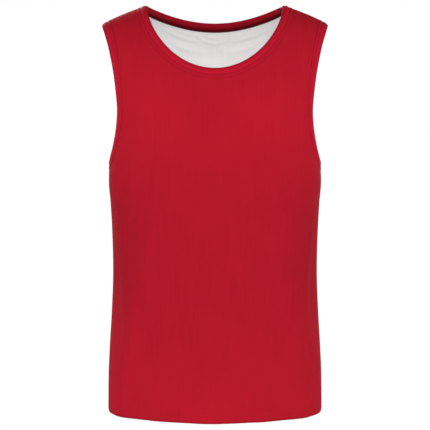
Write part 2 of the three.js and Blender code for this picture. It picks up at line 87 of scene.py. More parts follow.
# %% Rings, chest and shoulder ridge
QUARTER_TURN = np.pi / 2
CHEST_HALF = 178.5
RIDGE_HALF = 213
RINGS = {
    "down": [ARMHOLE_DEPTH, 300, 330, 380, 450, 517, 569, 621, 690],
    "half": [CHEST_HALF, 180, 177.6, 175, 173.6, 176, 179, 181.2, 182],
    "front": [133, 132.2, 130.3, 126.5, 123, 122, 123, 124, 124],
    "back": [117, 116, 113.5, 108.5, 104.5, 104.5, 106.5, 108.5, 109],
}
CHEST = {
    "rise": [0, 0.36, 0.6, 0.8, 0.9, 1],
    "half": [CHEST_HALF, 175, 182, 194.5, 203, RIDGE_HALF],
}
RIDGE = {
    "across": [0, 80, NECK_HALF_WIDTH, 122, 150, 174, SHOULDER_HALF_WIDTH, RIDGE_HALF],
    "down": [-12, -8, 0, 1.6, 12, 22.4, SHOULDER_DROP, 45],
}


def read(table, key, name, at):
    """Reads a column between the rows of a table, on a smooth curve through them."""
    keys = np.array(table[key], float)
    values = np.array(table[name], float)
    last = len(keys) - 1
    before = np.maximum(np.arange(last + 1) - 1, 0)
    after = np.minimum(np.arange(last + 1) + 1, last)
    slope = (values[after] - values[before]) / (keys[after] - keys[before])
    k = np.clip(np.searchsorted(keys, at, side="right") - 1, 0, last - 1)
    gap = keys[k + 1] - keys[k]
    t = np.clip((at - keys[k]) / gap, 0, 1)
    ease = t * t * (3 - 2 * t)
    bend = t * (1 - t) * gap * ((1 - t) * slope[k] - t * slope[k + 1])
    return values[k] + (values[k + 1] - values[k]) * ease + bend


print(f"half width at the chest {read(RINGS, 'down', 'half', ARMHOLE_DEPTH):.1f} mm")

# %% [markdown]
# ## One chart for all the cloth
#
# Every place on the front or the back has two numbers: a turn, from the middle (0) to a side seam
# (90 degrees), and a level, from the hem (0) over the underarm (1) to the ridge along the
# shoulders (2). Each function below takes an array of such places, so whole panels are worked out
# in one call. The tables say how the front and the back differ in neckline and armhole.

# %% Front and back
FRONT = {
    "name": "front",
    "facing": -1,
    "neck_drop": 112,
    "neck_power": 1.22,
    "neck_corner": 43 / 90,
    "armhole_middle": 122,
    "armhole": {
        "down": [257.8, 252, 242, 227, 207, 180, 155, 124, 90, 56],
        "half": [176.3, 174.2, 171, 167.4, 164, 162, 163.6, 167.2, 173.2, 182],
    },
}
BACK = {
    "name": "back",
    "facing": 1,
    "neck_drop": 24.5,
    "neck_power": 2.3,
    "neck_corner": 50 / 90,
    "armhole_middle": 64,
    "armhole": {
        "down": [258, 252.5, 242, 226, 205, 180, 155, 124, 90, 56],
        "half": [176.8, 174.8, 172, 169, 167, 165.6, 166.6, 170, 175.6, 183.8],
    },
}
PANELS = (FRONT, BACK)
print("neckline depth, front and back:", [panel["neck_drop"] for panel in PANELS], "mm")

# %% [markdown]
# The rings are superellipses, which are squarer than an ellipse and still smooth. They are
# rounder towards the hem and squarer towards the shoulders. Above the underarm a second
# superellipse leads over to the ridge, like an arch.

# %% From the chart to a place in space
RING_POWER = 2.4
RING_POWER_LOST_AT_HEM = 0.35
RING_POWER_ADDED_AT_RIDGE = 0.8
ARCH_POWER = 2
ARCH_POWER_ADDED_AT_SIDES = 0.8
CHEST_FRONT = np.array([0.0, 1.0])


def superellipse(angle, power):
    along, across = np.abs(np.cos(angle)), np.abs(np.sin(angle))
    radius = (along**power + across**power) ** (-1 / power)
    return along * radius, across * radius * np.sign(angle)


def ring_power(level):
    lost = RING_POWER_LOST_AT_HEM * np.clip(1 - level, 0, 1) ** 2
    return RING_POWER - lost + RING_POWER_ADDED_AT_RIDGE * np.clip(level - 1, 0, 1) ** 2


def arch_power(turn):
    return ARCH_POWER + ARCH_POWER_ADDED_AT_SIDES * np.sin(turn) ** 2


def body(panel, chart):
    """Places on the smooth outside of the bib, before any fold, in millimetres."""
    turn, level = chart[..., 0], chart[..., 1]
    along, across = superellipse(turn, ring_power(level))
    over, rise = superellipse(np.clip(level - 1, 0, 1) * QUARTER_TURN, arch_power(turn))
    hem = BODY_LENGTH - HEM_RISE * np.abs(np.sin(turn))
    ridge = read(RIDGE, "across", "down", np.abs(across) * RIDGE_HALF)
    above = level > 1
    down = np.where(
        above,
        ARMHOLE_DEPTH + (ridge - ARMHOLE_DEPTH) * rise,
        hem + (ARMHOLE_DEPTH - hem) * level,
    )
    low_half = read(RINGS, "down", "half", down)
    low_depth = read(RINGS, "down", panel["name"], down)
    half = np.where(above, read(CHEST, "rise", "half", rise), low_half)
    depth = np.where(above, RINGS[panel["name"]][0] * over, low_depth)
    y = panel["facing"] * depth * along
    return np.stack([half * across, y, NECK_POINT_UP - down], axis=-1)


print("front of the chest at", body(FRONT, CHEST_FRONT).round(1), "mm")

# %% [markdown]
# Folds, layers and stitches stand off from this surface. The direction that points straight out
# of it comes from two small steps on the chart, one round the body and one up it, because their
# cross product is square to both.

# %% Straight out of the cloth
CHART_STEP = 1e-3


def unit(vectors):
    return vectors / np.linalg.norm(vectors, axis=-1, keepdims=True)


def steps_round(panel, chart):
    """How the outside runs at a place: along the turn and along the level."""
    sideways, upwards = np.array([CHART_STEP, 0]), np.array([0, CHART_STEP])
    low, high = [-QUARTER_TURN, 0], [QUARTER_TURN, 2]
    right = body(panel, np.clip(chart + sideways, low, high))
    left = body(panel, np.clip(chart - sideways, low, high))
    top = body(panel, np.clip(chart + upwards, low, high))
    bottom = body(panel, np.clip(chart - upwards, low, high))
    return right - left, top - bottom


def out_of(panel, chart):
    """The direction that points straight out of the cloth."""
    around, upwards = steps_round(panel, chart)
    return -panel["facing"] * unit(np.cross(around, upwards))


print("straight out of the chest:", out_of(FRONT, CHEST_FRONT).round(2))

# %% [markdown]
# ## Measuring on the cloth
#
# Folds, weave and stitching belong to the cloth, so they are placed with a tape measure on it: so
# many millimetres across from the middle and so many up from the hem. The distances are summed
# once over a fine lattice for each panel and read back from it.

# %% A tape measure for each panel
TURN_LINES = 181
LEVEL_LINES = 241
LATTICE = (np.linspace(-QUARTER_TURN, QUARTER_TURN, TURN_LINES), np.linspace(0, 2, LEVEL_LINES))


def tape(panel):
    turns, levels = LATTICE
    chart = np.stack(np.meshgrid(turns, levels, indexing="ij"), axis=-1)
    places = body(panel, chart)
    around = np.linalg.norm(np.diff(places, axis=0), axis=-1)
    upwards = np.linalg.norm(np.diff(places, axis=1), axis=-1)
    across = np.concatenate([np.zeros((1, len(levels))), np.cumsum(around, axis=0)])
    up = np.concatenate([np.zeros((len(turns), 1)), np.cumsum(upwards, axis=1)], axis=1)
    return across - across[len(turns) // 2], up


for panel in PANELS:
    panel["tape"] = tape(panel)


def measured(panel, chart):
    """Millimetres across from the middle and up from the hem, along the cloth."""
    turns, levels = LATTICE
    i = (chart[..., 0] + QUARTER_TURN) / (turns[1] - turns[0])
    j = chart[..., 1] / (levels[1] - levels[0])
    i0 = np.clip(np.floor(i).astype(int), 0, len(turns) - 2)
    j0 = np.clip(np.floor(j).astype(int), 0, len(levels) - 2)
    s, t = i - i0, j - j0
    found = []
    for lengths in panel["tape"]:
        low = lengths[i0, j0] * (1 - s) + lengths[i0 + 1, j0] * s
        high = lengths[i0, j0 + 1] * (1 - s) + lengths[i0 + 1, j0 + 1] * s
        found.append(low * (1 - t) + high * t)
    return found


HALF_HEM = measured(FRONT, np.array([QUARTER_TURN, 0.0]))[0]
print(f"the front is {2 * HALF_HEM:.0f} mm wide at the hem, measured on the cloth")

# %% [markdown]
# ## Cut lines
#
# The neckline and the armholes could be cut out of a whole body with Boolean modifiers, but that
# leaves ragged cells along the edge. Here they are curves on the chart, and the net of each panel
# is laid out between them. Where a curve is known from the front, as so far across and so far down,
# a number of passes find its turn and its level.

# %% From a front view to the chart
CHART_PASSES = 80


def chart_of(across, down):
    across, down = np.broadcast_arrays(np.asarray(across, float), np.asarray(down, float))
    turn, level = np.arctan2(across, RIDGE_HALF), np.full(across.shape, 1.5)
    for _ in range(CHART_PASSES):
        rise = superellipse((level - 1) * QUARTER_TURN, arch_power(turn))[1]
        place = np.clip(across / read(CHEST, "rise", "half", rise), 0, 1)
        power = ring_power(level)
        turn = np.arctan2(place, (1 - place**power) ** (1 / power))
        ridge = read(RIDGE, "across", "down", place * RIDGE_HALF)
        rise = np.clip((ARMHOLE_DEPTH - down) / (ARMHOLE_DEPTH - ridge), 0, 1)
        bow = arch_power(turn)
        level = 1 + np.arctan2(rise, (1 - rise**bow) ** (1 / bow)) / QUARTER_TURN
    return np.stack([turn, level], axis=-1)


UNDERARM = np.array([QUARTER_TURN, 1])
NECK_POINT = chart_of(NECK_HALF_WIDTH, 0)
SHOULDER_TIP = chart_of(SHOULDER_HALF_WIDTH, SHOULDER_DROP)
NECK_POINT[1] = SHOULDER_TIP[1] = 2
print("turn of the neck point:", np.degrees(NECK_POINT[0]).round(1), "degrees")

# %% [markdown]
# A cut line is kept as a function from a share of the way along it, 0 to 1, to a place on the
# chart. The neckline is one power curve. The armhole is a smooth curve through the points of its
# table, with one more beyond the side seam, so that front and back meet there without a corner.
# Spans that grow with the root of the distance keep it from swinging out between its points.

# %% Neckline and armhole
def gaps(places):
    """The distances between places that follow each other."""
    return np.linalg.norm(np.diff(places, axis=0), axis=1)


def neckline(panel):
    """The neckline's path from the middle (share 0) to the neck point (share 1)."""

    def path(share):
        angle = np.clip(share, 0, 1) * QUARTER_TURN
        down = panel["neck_drop"] * np.abs(np.cos(angle)) ** panel["neck_power"]
        chart = chart_of(NECK_HALF_WIDTH * np.sin(angle), down)
        chart[np.asarray(share) > 1 - 1e-9] = NECK_POINT
        return chart

    return path


def armhole(panel):
    """The armhole's path from the side seam (share 0) to the shoulder (share 1)."""
    inner = chart_of(panel["armhole"]["half"], panel["armhole"]["down"])
    past_seam = [2 * QUARTER_TURN - inner[0, 0], inner[0, 1]]
    knots = np.concatenate([[past_seam, UNDERARM], inner, [SHOULDER_TIP]])
    spans = gaps(knots) ** 0.5
    run = np.concatenate([[0], np.cumsum(spans)]) / spans.sum()
    table = {"run": run, "turn": knots[:, 0], "level": knots[:, 1]}

    def path(share):
        share = run[1] + (1 - run[1]) * np.clip(share, 0, 1)
        turn = np.minimum(read(table, "run", "turn", share), QUARTER_TURN)
        return np.stack([turn, np.minimum(read(table, "run", "level", share), 2)], axis=-1)

    return path


for panel in PANELS:
    panel["neck"], panel["arm"] = neckline(panel), armhole(panel)
    middle = body(panel, panel["neck"](0.0))
    print(f"{panel['name']} neckline crosses the middle at {middle.round(1)} mm")

# %% [markdown]
# Points are wanted at equal lengths of cloth along such a line, or crowded at its end. The line
# is measured at many shares first, and the wanted shares are read from that. Both edges of each
# panel are laid out in this way once, as dense rows of points.

# %% Spacing along a line
SHARES_MEASURED = 500
EDGE_CELLS = 240


def run_along(places):
    """How far along their line each of some places lies."""
    return np.concatenate([[0], np.cumsum(gaps(places))])


def spaced(panel, path, cells, start=0, end=1, crowd=1.0):
    """Shares of a path that divide it into equal lengths of cloth, or crowd at its end."""
    shares = np.linspace(start, end, SHARES_MEASURED)
    run = run_along(body(panel, path(shares)))
    want = 1 - (1 - np.linspace(0, 1, cells + 1)) ** crowd
    return np.interp(want * run[-1], run, shares)


for panel in PANELS:
    shares = [(path, spaced(panel, path, EDGE_CELLS)) for path in (panel["neck"], panel["arm"])]
    panel["edges"] = [body(panel, path(share)) for path, share in shares]
    print(f"{panel['name']} neckline {2 * gaps(panel['edges'][0]).sum():.0f} mm")

# %% [markdown]
# A binding presses the cloth flat beside a cut edge, so each place has to know how far it lies
# from the nearest one. That is the least of its distances to the edge's points. The places are
# taken in parts, which keeps the tables of distances small.

# %% Distance from the cut edges
PART = 4000


def to_edge(panel, chart):
    """Millimetres from the neckline or the nearer armhole, whichever is less."""
    places = body(panel, chart)
    places[..., 0] = np.abs(places[..., 0])
    flat, edges = places.reshape(-1, 3), np.concatenate(panel["edges"])
    nearest = []
    for start in range(0, len(flat), PART):
        away = flat[start : start + PART, None] - edges[None]
        nearest.append(np.linalg.norm(away, axis=-1).min(axis=1))
    return np.concatenate(nearest).reshape(places.shape[:-1])


print(f"the chest lies {to_edge(FRONT, CHEST_FRONT[None])[0]:.0f} mm from the neckline")

# %% [markdown]
# ## Soft folds
#
# A filled-out bib has few creases: long soft ones that start under the arms and at the chest, grow
# downwards and spread towards the hem, and shallow hollows between them. They could be simulated or
# sculpted, but a list of creases can be changed one by one, and every layer can follow the same
# list. A crease here is a line on the cloth with a gentle swell across it that rises and dies away
# along it. No two are alike in length, depth or lean, and both sides of the bib get a set of their
# own.
#
# The main folds start at a level of the chart and widen down to the hem. Each line below gives
# that level, the turn in degrees at the top and at the hem, the width in degrees and the height.

# %% Main folds
FRONT["folds"] = [
    (1.25, -22, -58, 8, 4.2),
    (0.8, -24, -31, 7, 2.6),
    (0.6, -4, -3, 9, 2.8),
    (0.75, 20, 27, 7, 2.4),
    (1.25, 21, 52, 8, 4),
]
BACK["folds"] = [
    (1.2, -30, -54, 8, 4.4),
    (0.9, -12, -22, 9, 3.4),
    (0.7, 4, 6, 8, 2.4),
    (0.85, 22, 30, 8, 3),
    (1.2, 34, 58, 8, 4),
]
SIDE_FADE = 3


def smooth(t):
    t = np.clip(t, 0, 1)
    return t * t * (3 - 2 * t)


def main_folds(panel, chart):
    turn, level = chart[..., 0], chart[..., 1]
    from_side = np.abs(np.cos(turn))
    total = np.zeros(turn.shape)
    for top, head, foot, width, height in panel["folds"]:
        t = np.clip(level / top, 0, 1)
        away = (turn - np.radians(foot + (head - foot) * t)) / np.radians(width)
        total += height * (1 - smooth(t)) * np.exp(-away * away)
    return total * np.minimum(np.sqrt(from_side), SIDE_FADE * from_side)


print(len(FRONT["folds"]), "main folds in front and", len(BACK["folds"]), "behind")

# %% [markdown]
# The finer creases are listed by where they start and where they end on the cloth, across and up
# in millimetres. Then come the bow, which bends the line sideways, the width, the height, and the
# skew, which makes one flank steeper than the other.

# %% Finer creases
CREASE_RISE = 0.8
FRONT["creases"] = [
    (-150, 405, -105, 120, 10, 15, 1.5, 0.4),
    (-196, 380, -160, 230, -6, 10, 1.1, -0.3),
    (-205, 330, -150, 60, 8, 13, 1.4, 0.3),
    (-60, 330, -88, 60, -10, 20, 1.2, 0.2),
    (152, 400, 98, 150, -12, 16, 1.4, -0.4),
    (198, 372, 165, 205, 7, 9, 1.2, 0.3),
    (204, 318, 158, 40, -9, 14, 1.3, -0.2),
    (70, 300, 96, 46, 9, 18, 1.1, 0.3),
    (-20, 170, -30, -60, 4, 13, 1.6, -0.2),
    (26, 150, 36, -50, -4, 12, 1.4, 0.2),
    (-66, 120, -74, -90, 4, 14, 1.3, 0.2),
    (74, 104, 84, -80, -4, 13, 1.2, -0.2),
    (-120, 560, -60, 470, 16, 16, -0.6, 0.2),
    (118, 566, 66, 480, -15, 17, -0.6, -0.2),
    (-40, 400, 52, 392, -26, 30, -1.0, 0.2),
    (-190, 430, 186, 424, 6, 34, 3.4, 0.0),
    (-196, 405, -190, 70, 6, 36, -5.5, 0.1),
    (192, 400, 196, 84, -5, 34, -6.0, -0.1),
    (-84, 372, -160, 96, -14, 24, 2.0, -0.4),
    (80, 366, 142, 118, 12, 22, 2.2, 0.4),
    (-180, 130, -184, -130, 4, 40, 2.6, 0.0),
    (182, 126, 186, -126, -4, 38, 2.6, 0.0),
]
BACK["creases"] = [
    (-150, 430, -96, 170, 12, 17, 2.6, 0.3),
    (-196, 392, -168, 70, 8, 20, -3.4, 0.2),
    (-40, 380, -60, 70, -10, 20, 2.2, -0.2),
    (144, 440, 108, 180, -12, 18, 2.4, -0.3),
    (194, 386, 172, 60, -8, 20, -3.6, -0.2),
    (60, 350, 80, 40, 9, 22, 2.0, 0.2),
    (-110, 596, -34, 512, 15, 15, 1.7, 0.3),
    (104, 590, 40, 500, -14, 16, 1.5, -0.3),
    (-128, 560, -60, 440, 10, 20, -1.6, 0.2),
    (120, 552, 62, 452, -12, 18, -1.4, -0.2),
    (-60, 268, 66, 236, 14, 24, -2.0, 0.2),
    (-110, 210, -20, 170, 10, 20, 1.4, 0.1),
    (16, 170, 22, -60, 4, 14, 1.9, 0.2),
    (-120, 130, -128, -110, 5, 17, 2.0, -0.2),
    (118, 110, 130, -100, -5, 16, 1.8, 0.2),
]


def swell(across, up, crease):
    """The height of one crease at places measured on the cloth."""
    start_across, start_up, end_across, end_up, bow, width, height, skew = crease
    run = np.array([end_across - start_across, end_up - start_up], float)
    length = np.linalg.norm(run)
    run /= length
    dx, dy = across - start_across, up - start_up
    t = np.clip((dx * run[0] + dy * run[1]) / length, 0, 1)
    rise = np.sin(np.pi * t)
    away = dy * run[0] - dx * run[1] - bow * rise
    width *= 1 + skew * np.tanh(away / width)
    return height * rise**CREASE_RISE * np.exp(-((away / width) ** 2))


print(len(FRONT["creases"]), "creases in front and", len(BACK["creases"]), "behind")

# %% [markdown]
# Worn cloth is nowhere quite flat. A Displace modifier with a cloud texture could show that, but it
# would move each layer by itself. Here a few long, shallow waves in random directions are added up,
# and all layers share them. The random numbers start from a fixed seed, so that every run gives the
# same cloth.

# %% Unevenness
WAVE_HEIGHT = 0.16
WAVE_COUNT = 9
random = np.random.default_rng(11)
WAVES = [
    (random.uniform(-0.03, 0.03), random.uniform(-0.012, 0.012), random.uniform(0, 6.28))
    for _ in range(WAVE_COUNT)
]


def unevenness(across, up):
    return WAVE_HEIGHT * sum(
        np.sin(along * across + upwards * up + start) for along, upwards, start in WAVES
    )


print(f"unevenness at the middle of the hem: {unevenness(0, 0):.2f} mm")

# %% [markdown]
# Along a seam, the two edges are turned in and pulled together by the thread, so the cloth dips
# there. The side seams run from the underarms to the hem and the shoulder seams along the ridge.
# A binding presses the layers down, and the last few millimetres above a hem's fold curl inwards.

# %% Relief of a panel
SEAM_DIP = 0.7
SEAM_DIP_WIDTH = 3
CALM_BESIDE_SEAM = 40
UNCREASED_BESIDE_SEAM = 15
BINDING_DIP = 0.7
PRESSED_WIDTH = BINDING_WIDTH - 2
PRESSED_RUN_OUT = 5
HEM_CURL = 1.1
HEM_CURL_HEIGHT = 4.4


def relief(panel, chart):
    """How far the cloth stands out from the smooth body, in millimetres."""
    across, up = measured(panel, chart)
    side, ridge = chart.copy(), chart.copy()
    side[..., 0] = QUARTER_TURN
    ridge[..., 1] = 2
    to_side = measured(panel, side)[0] - np.abs(across)
    to_ridge = measured(panel, ridge)[1] - up
    dip = sum(np.exp(-((away / SEAM_DIP_WIDTH) ** 2)) for away in (to_side, to_ridge))
    calm = smooth(to_side / CALM_BESIDE_SEAM) * smooth(to_ridge / CALM_BESIDE_SEAM)
    pressed = 1 - smooth((to_edge(panel, chart) - PRESSED_WIDTH) / PRESSED_RUN_OUT)
    height = main_folds(panel, chart) - SEAM_DIP * dip - BINDING_DIP * pressed
    height -= HEM_CURL * np.clip(1 - up / HEM_CURL_HEIGHT, 0, 1)
    height += unevenness(across, up) * calm
    for crease in panel["creases"]:
        height += swell(across, up, crease) * smooth(to_side / UNCREASED_BESIDE_SEAM)
    return height


print(f"relief at the front of the chest: {relief(FRONT, CHEST_FRONT[None])[0]:.2f} mm")

# %% [markdown]
# ## The net over a panel
#
# A panel's mesh could be a square grid with the openings left out, but its edges would be stepped.
# Instead, the lines of this net run along every cut edge, and its cells crowd towards the seams,
# where the cloth bends most. Half a panel is three four-sided fields: the body under the armhole,
# the chest between armhole and middle, and the strap over the shoulder.

# %% Columns and rows of the net
NECK_COLUMNS = 26
STRAP_COLUMNS = 30
SIDE_COLUMNS = 24
BODY_ROWS = 100
CHEST_ROWS = 120
SHOULDER_ROWS = 34
STRAP_END = NECK_COLUMNS + STRAP_COLUMNS
COLUMNS = STRAP_END + SIDE_COLUMNS
CHEST_TOP = BODY_ROWS + CHEST_ROWS
ROWS = CHEST_TOP + SHOULDER_ROWS
CROWD = 1.6
HEM_TURNS = np.radians([0, 25, 62, 90])
UNDERARM_ROW_LEVEL = 0.9
ARMHOLE_CORNER_DOWN = 248
SHARES_SEARCHED = 2000
print(2 * COLUMNS, "columns and", ROWS, "rows of cells")

# %% [markdown]
# A field is filled from the points along its four sides: each inner point is a blend of the four
# sides, less a blend of the corners, which would count twice. This is called a Coons patch.

# %% Fill a field
def shares_of(points):
    run = run_along(points)
    return run / run[-1]


def fill_field(bottom, top, left, right):
    v = np.linspace(0, 1, len(left))[None, :]
    u = shares_of(bottom)[:, None] * (1 - v) + shares_of(top)[:, None] * v
    v = shares_of(left)[None, :] * (1 - u) + shares_of(right)[None, :] * u
    u, v = u[..., None], v[..., None]
    field = (1 - v) * bottom[:, None] + v * top[:, None]
    field += (1 - u) * left[None, :] + u * right[None, :]
    field -= (1 - u) * ((1 - v) * bottom[0] + v * top[0])
    return field - u * ((1 - v) * bottom[-1] + v * top[-1])


side = np.array([[0.0, 0.0], [1.0, 0.0]])
square = fill_field(side, side + [0, 1], side[:, ::-1], side[:, ::-1] + [1, 0])
print("corners of a filled square:", square.reshape(-1, 2).tolist())

# %% [markdown]
# The sides of the fields are the cut edges, the hem, the side seam, and lines on the chart between
# them, which are straight or leave one end steeply. Points are laid out along each at equal
# lengths of cloth.

# %% Sides of the fields
def straight(start, end, bend=1):
    """A straight path on the chart. Bend makes it leave its start steeply or flatly."""
    start, end = np.array(start, float), np.array(end, float)

    def path(share):
        share = np.asarray(share)
        powers = np.stack([share, share**bend], axis=-1)
        return start + (end - start) * powers

    return path


def stations(panel, path, cells, crowd=1.0):
    return path(spaced(panel, path, cells, crowd=crowd))


def share_at(panel, path, down):
    shares = np.linspace(0, 1, SHARES_SEARCHED)
    depth = NECK_POINT_UP - body(panel, path(shares))[:, 2]
    return shares[np.argmax(depth <= down)]


print("share of the front armhole at its corner:", end=" ")
print(share_at(FRONT, FRONT["arm"], ARMHOLE_CORNER_DOWN).round(3))

# %% [markdown]
# With their sides laid out, the three fields are filled. Neighbours share the points of the side
# between them, so the net has no gaps. The other half of a panel is the mirror image of the first.

# %% Nets of the front and the back
def half_net(panel):
    neck, arm = panel["neck"], panel["arm"]
    corner = panel["neck_corner"]
    arm_corner = share_at(panel, arm, ARMHOLE_CORNER_DOWN)
    arm_middle = share_at(panel, arm, panel["armhole_middle"])
    neck_foot = neck(spaced(panel, neck, NECK_COLUMNS, 0, corner))
    neck_side = neck(spaced(panel, neck, SHOULDER_ROWS, corner, 1, CROWD))
    arm_foot = arm(spaced(panel, arm, SIDE_COLUMNS, arm_corner, 0, CROWD))
    arm_low = arm(spaced(panel, arm, CHEST_ROWS, arm_corner, arm_middle))
    arm_high = arm(spaced(panel, arm, SHOULDER_ROWS, arm_middle, 1, CROWD))

    hem = [[0.0, 0.0]]
    counts = [(NECK_COLUMNS, 1), (STRAP_COLUMNS, 1), (SIDE_COLUMNS, CROWD)]
    for k, (cells, crowd) in enumerate(counts):
        stretch = straight([HEM_TURNS[k], 0], [HEM_TURNS[k + 1], 0])
        hem.extend(stations(panel, stretch, cells, crowd)[1:])
    start, seam = [0, UNDERARM_ROW_LEVEL], straight([QUARTER_TURN, 0], UNDERARM)
    underarm_row = stations(panel, straight(start, arm_low[0], bend=2), STRAP_END)
    chest_row = stations(panel, straight(neck_foot[-1], arm_low[-1]), STRAP_COLUMNS)

    chart = np.full((COLUMNS + 1, ROWS + 1, 2), np.nan)
    chart[:, : BODY_ROWS + 1] = fill_field(
        bottom=np.array(hem),
        top=np.concatenate([underarm_row, arm_foot[1:]]),
        left=stations(panel, straight([0, 0], start), BODY_ROWS),
        right=stations(panel, seam, BODY_ROWS),
    )
    chart[: STRAP_END + 1, BODY_ROWS : CHEST_TOP + 1] = fill_field(
        bottom=underarm_row,
        top=np.concatenate([neck_foot, chest_row[1:]]),
        left=stations(panel, straight(start, neck_foot[0]), CHEST_ROWS),
        right=arm_low,
    )
    chart[NECK_COLUMNS : STRAP_END + 1, CHEST_TOP:] = fill_field(
        bottom=chest_row,
        top=stations(panel, straight(NECK_POINT, SHOULDER_TIP), STRAP_COLUMNS),
        left=neck_side,
        right=arm_high,
    )
    return chart


def mirrored(chart):
    return chart * np.array([-1, 1])


for panel in PANELS:
    half = half_net(panel)
    panel["net"] = np.concatenate([mirrored(half)[:0:-1], half])
    panel["there"] = np.isfinite(panel["net"][..., 0])
    print(f"{panel['name']} net: {panel['there'].sum()} points")

# %% [markdown]
# ## Materials
#
# Both sides of the bib are the same fine mesh knit: columns of stitches, called wales, run up the
# cloth, with small eyelets between them. Each panel has some two hundred thousand stitches, far too
# many to model, so the knit is a pattern in the material. It comes from each point's place on the
# cloth, kept in the mesh as the attribute "cloth", so it has the same scale everywhere. Two effects
# are used by several materials and are built once, as node groups.

# %% A helper for node trees
COLUMN_WIDTH = 190


class Nodes:
    """Adds nodes to a tree, in the order in which they are made."""

    def __init__(self, tree):
        self.tree = tree
        self.column = 0

    def put(self, socket, value):
        """Gives a socket its value, or joins it to another node's output."""
        if isinstance(value, bpy.types.NodeSocket):
            self.tree.links.new(value, socket)
        else:
            socket.default_value = value

    def fill(self, node, values):
        for name, value in values.items():
            self.put(node.inputs[name], value)
        return node

    def add(self, kind, values=None, **settings):
        node = self.tree.nodes.new(kind)
        self.column += 1
        node.location = (self.column * COLUMN_WIDTH, 0)
        for name, setting in settings.items():
            setattr(node, name, setting)
        return self.fill(node, values or {})

    def math(self, operation, *values):
        node = self.add("ShaderNodeMath", operation=operation)
        for socket, value in zip(node.inputs, values):
            self.put(socket, value)
        return node.outputs[0]

    def smooth_step(self, value, low, high):
        values = {"Value": value, "From Min": low, "From Max": high}
        node = self.add("ShaderNodeMapRange", values, interpolation_type="SMOOTHSTEP")
        return node.outputs["Result"]

    def mix(self, factor, first, second, blend_type="MIX"):
        values = {"Factor": factor, "A": first, "B": second}
        node = self.add("ShaderNodeMix", values, data_type="RGBA", blend_type=blend_type)
        return node.outputs["Result"]

    def noise(self, scale, **values):
        return self.add("ShaderNodeTexNoise", {"Scale": scale, **values}).outputs["Fac"]

    def split(self, vector):
        return self.add("ShaderNodeSeparateXYZ", {"Vector": vector}).outputs


print("nodes stand", COLUMN_WIDTH, "units apart in the editor")

# %% [markdown]
# The knit group divides the cloth into small cells, every second column shifted by half a cell.
# It puts out a height, for the ribs of the wales and the eyelets between them, and a mask of the
# eyelets, which the mesh materials darken with painted shade, standing in for the shade one sees
# into the cloth there. Its inputs have names, so that each material can ask for a knit of its own.

# %% Mesh knit group
FLOAT, VECTOR = "NodeSocketFloat", "NodeSocketVector"
EYELET_RIM = 0.16
RIB_HEIGHT = 0.2


def new_group(name, inputs, outputs):
    """An empty group, its nodes, the values that come in and the sockets that lead out."""
    group = bpy.data.node_groups.new(name, "ShaderNodeTree")
    for socket, kind, value in inputs:
        made = group.interface.new_socket(socket, in_out="INPUT", socket_type=kind)
        if value is not None:
            made.default_value = value
    for socket, kind in outputs:
        group.interface.new_socket(socket, in_out="OUTPUT", socket_type=kind)
    nodes = Nodes(group)
    inside, outside = nodes.add("NodeGroupInput"), nodes.add("NodeGroupOutput")
    return group, nodes, inside.outputs, outside.inputs


def mesh_knit_group():
    group, n, inside, outside = new_group(
        "Mesh knit",
        [
            ("Cloth", VECTOR, None),
            ("Wale Spacing", FLOAT, 0.0011),
            ("Course Spacing", FLOAT, 0.0013),
            ("Eyelet Size", FLOAT, 0.24),
        ],
        [("Height", FLOAT), ("Eyelets", FLOAT)],
    )
    place = n.split(inside["Cloth"])
    wales = n.math("DIVIDE", place["X"], inside["Wale Spacing"])
    courses = n.math("DIVIDE", place["Y"], inside["Course Spacing"])
    shift = n.math("MULTIPLY", n.math("MODULO", n.math("FLOOR", wales), 2.0), 0.5)
    x = n.math("SUBTRACT", n.math("FRACT", wales), 0.5)
    y = n.math("SUBTRACT", n.math("FRACT", n.math("ADD", courses, shift)), 0.5)
    squares = n.math("ADD", n.math("MULTIPLY", x, x), n.math("MULTIPLY", y, y))
    rim = n.math("ADD", inside["Eyelet Size"], EYELET_RIM)
    thread = n.smooth_step(n.math("SQRT", squares), inside["Eyelet Size"], rim)
    rib = n.math("COSINE", n.math("MULTIPLY", x, 2 * np.pi))
    n.put(outside["Height"], n.math("MULTIPLY_ADD", rib, RIB_HEIGHT, thread))
    n.put(outside["Eyelets"], n.math("SUBTRACT", 1.0, thread))
    return group


MESH_KNIT = mesh_knit_group()
print("made the group", MESH_KNIT.name)

# %% [markdown]
# Knitted cloth is never one even tone. Yarn differs a little from wale to wale, which shows as
# fine streaks up the cloth, and the whole piece has soft lighter and darker patches. The tone
# group makes both from noise, stretched along the wales for the streaks.

# %% Cloth tone group
PATCH_SCALE = 11
STREAK_SCALE = 330
STREAK_STRETCH = (1, 0.035, 1)


def cloth_tone_group():
    group, n, inside, outside = new_group(
        "Cloth tone",
        [("Cloth", VECTOR, None), ("Patches", FLOAT, 0.5), ("Streaks", FLOAT, 0.5)],
        [("Tone", FLOAT)],
    )
    stretched = n.add("ShaderNodeVectorMath", operation="MULTIPLY")
    n.put(stretched.inputs[0], inside["Cloth"])
    n.put(stretched.inputs[1], STREAK_STRETCH)
    patches = n.noise(PATCH_SCALE, Vector=inside["Cloth"], Detail=3)
    streaks = n.noise(STREAK_SCALE, Vector=stretched.outputs[0], Detail=2)
    soft = n.math("SUBTRACT", patches, 0.5)
    fine = n.math("SUBTRACT", streaks, 0.5)
    fine = n.math("MULTIPLY", fine, inside["Streaks"])
    both = n.math("MULTIPLY_ADD", soft, inside["Patches"], fine)
    n.put(outside["Tone"], n.math("ADD", both, 0.5))
    return group


CLOTH_TONE = cloth_tone_group()
print("made the group", CLOTH_TONE.name)

# %% [markdown]
# All knits here start alike: the pattern's eyelets and relief, and a yarn between a dark and a
# light tone. Polyester is matt with a faint bloom at glancing angles, which is the sheen of its
# fine fibres, so gloss is low and sheen is on. What differs is kept in a table for each knit.

# %% Start of a knit material
SHEEN = 0.03


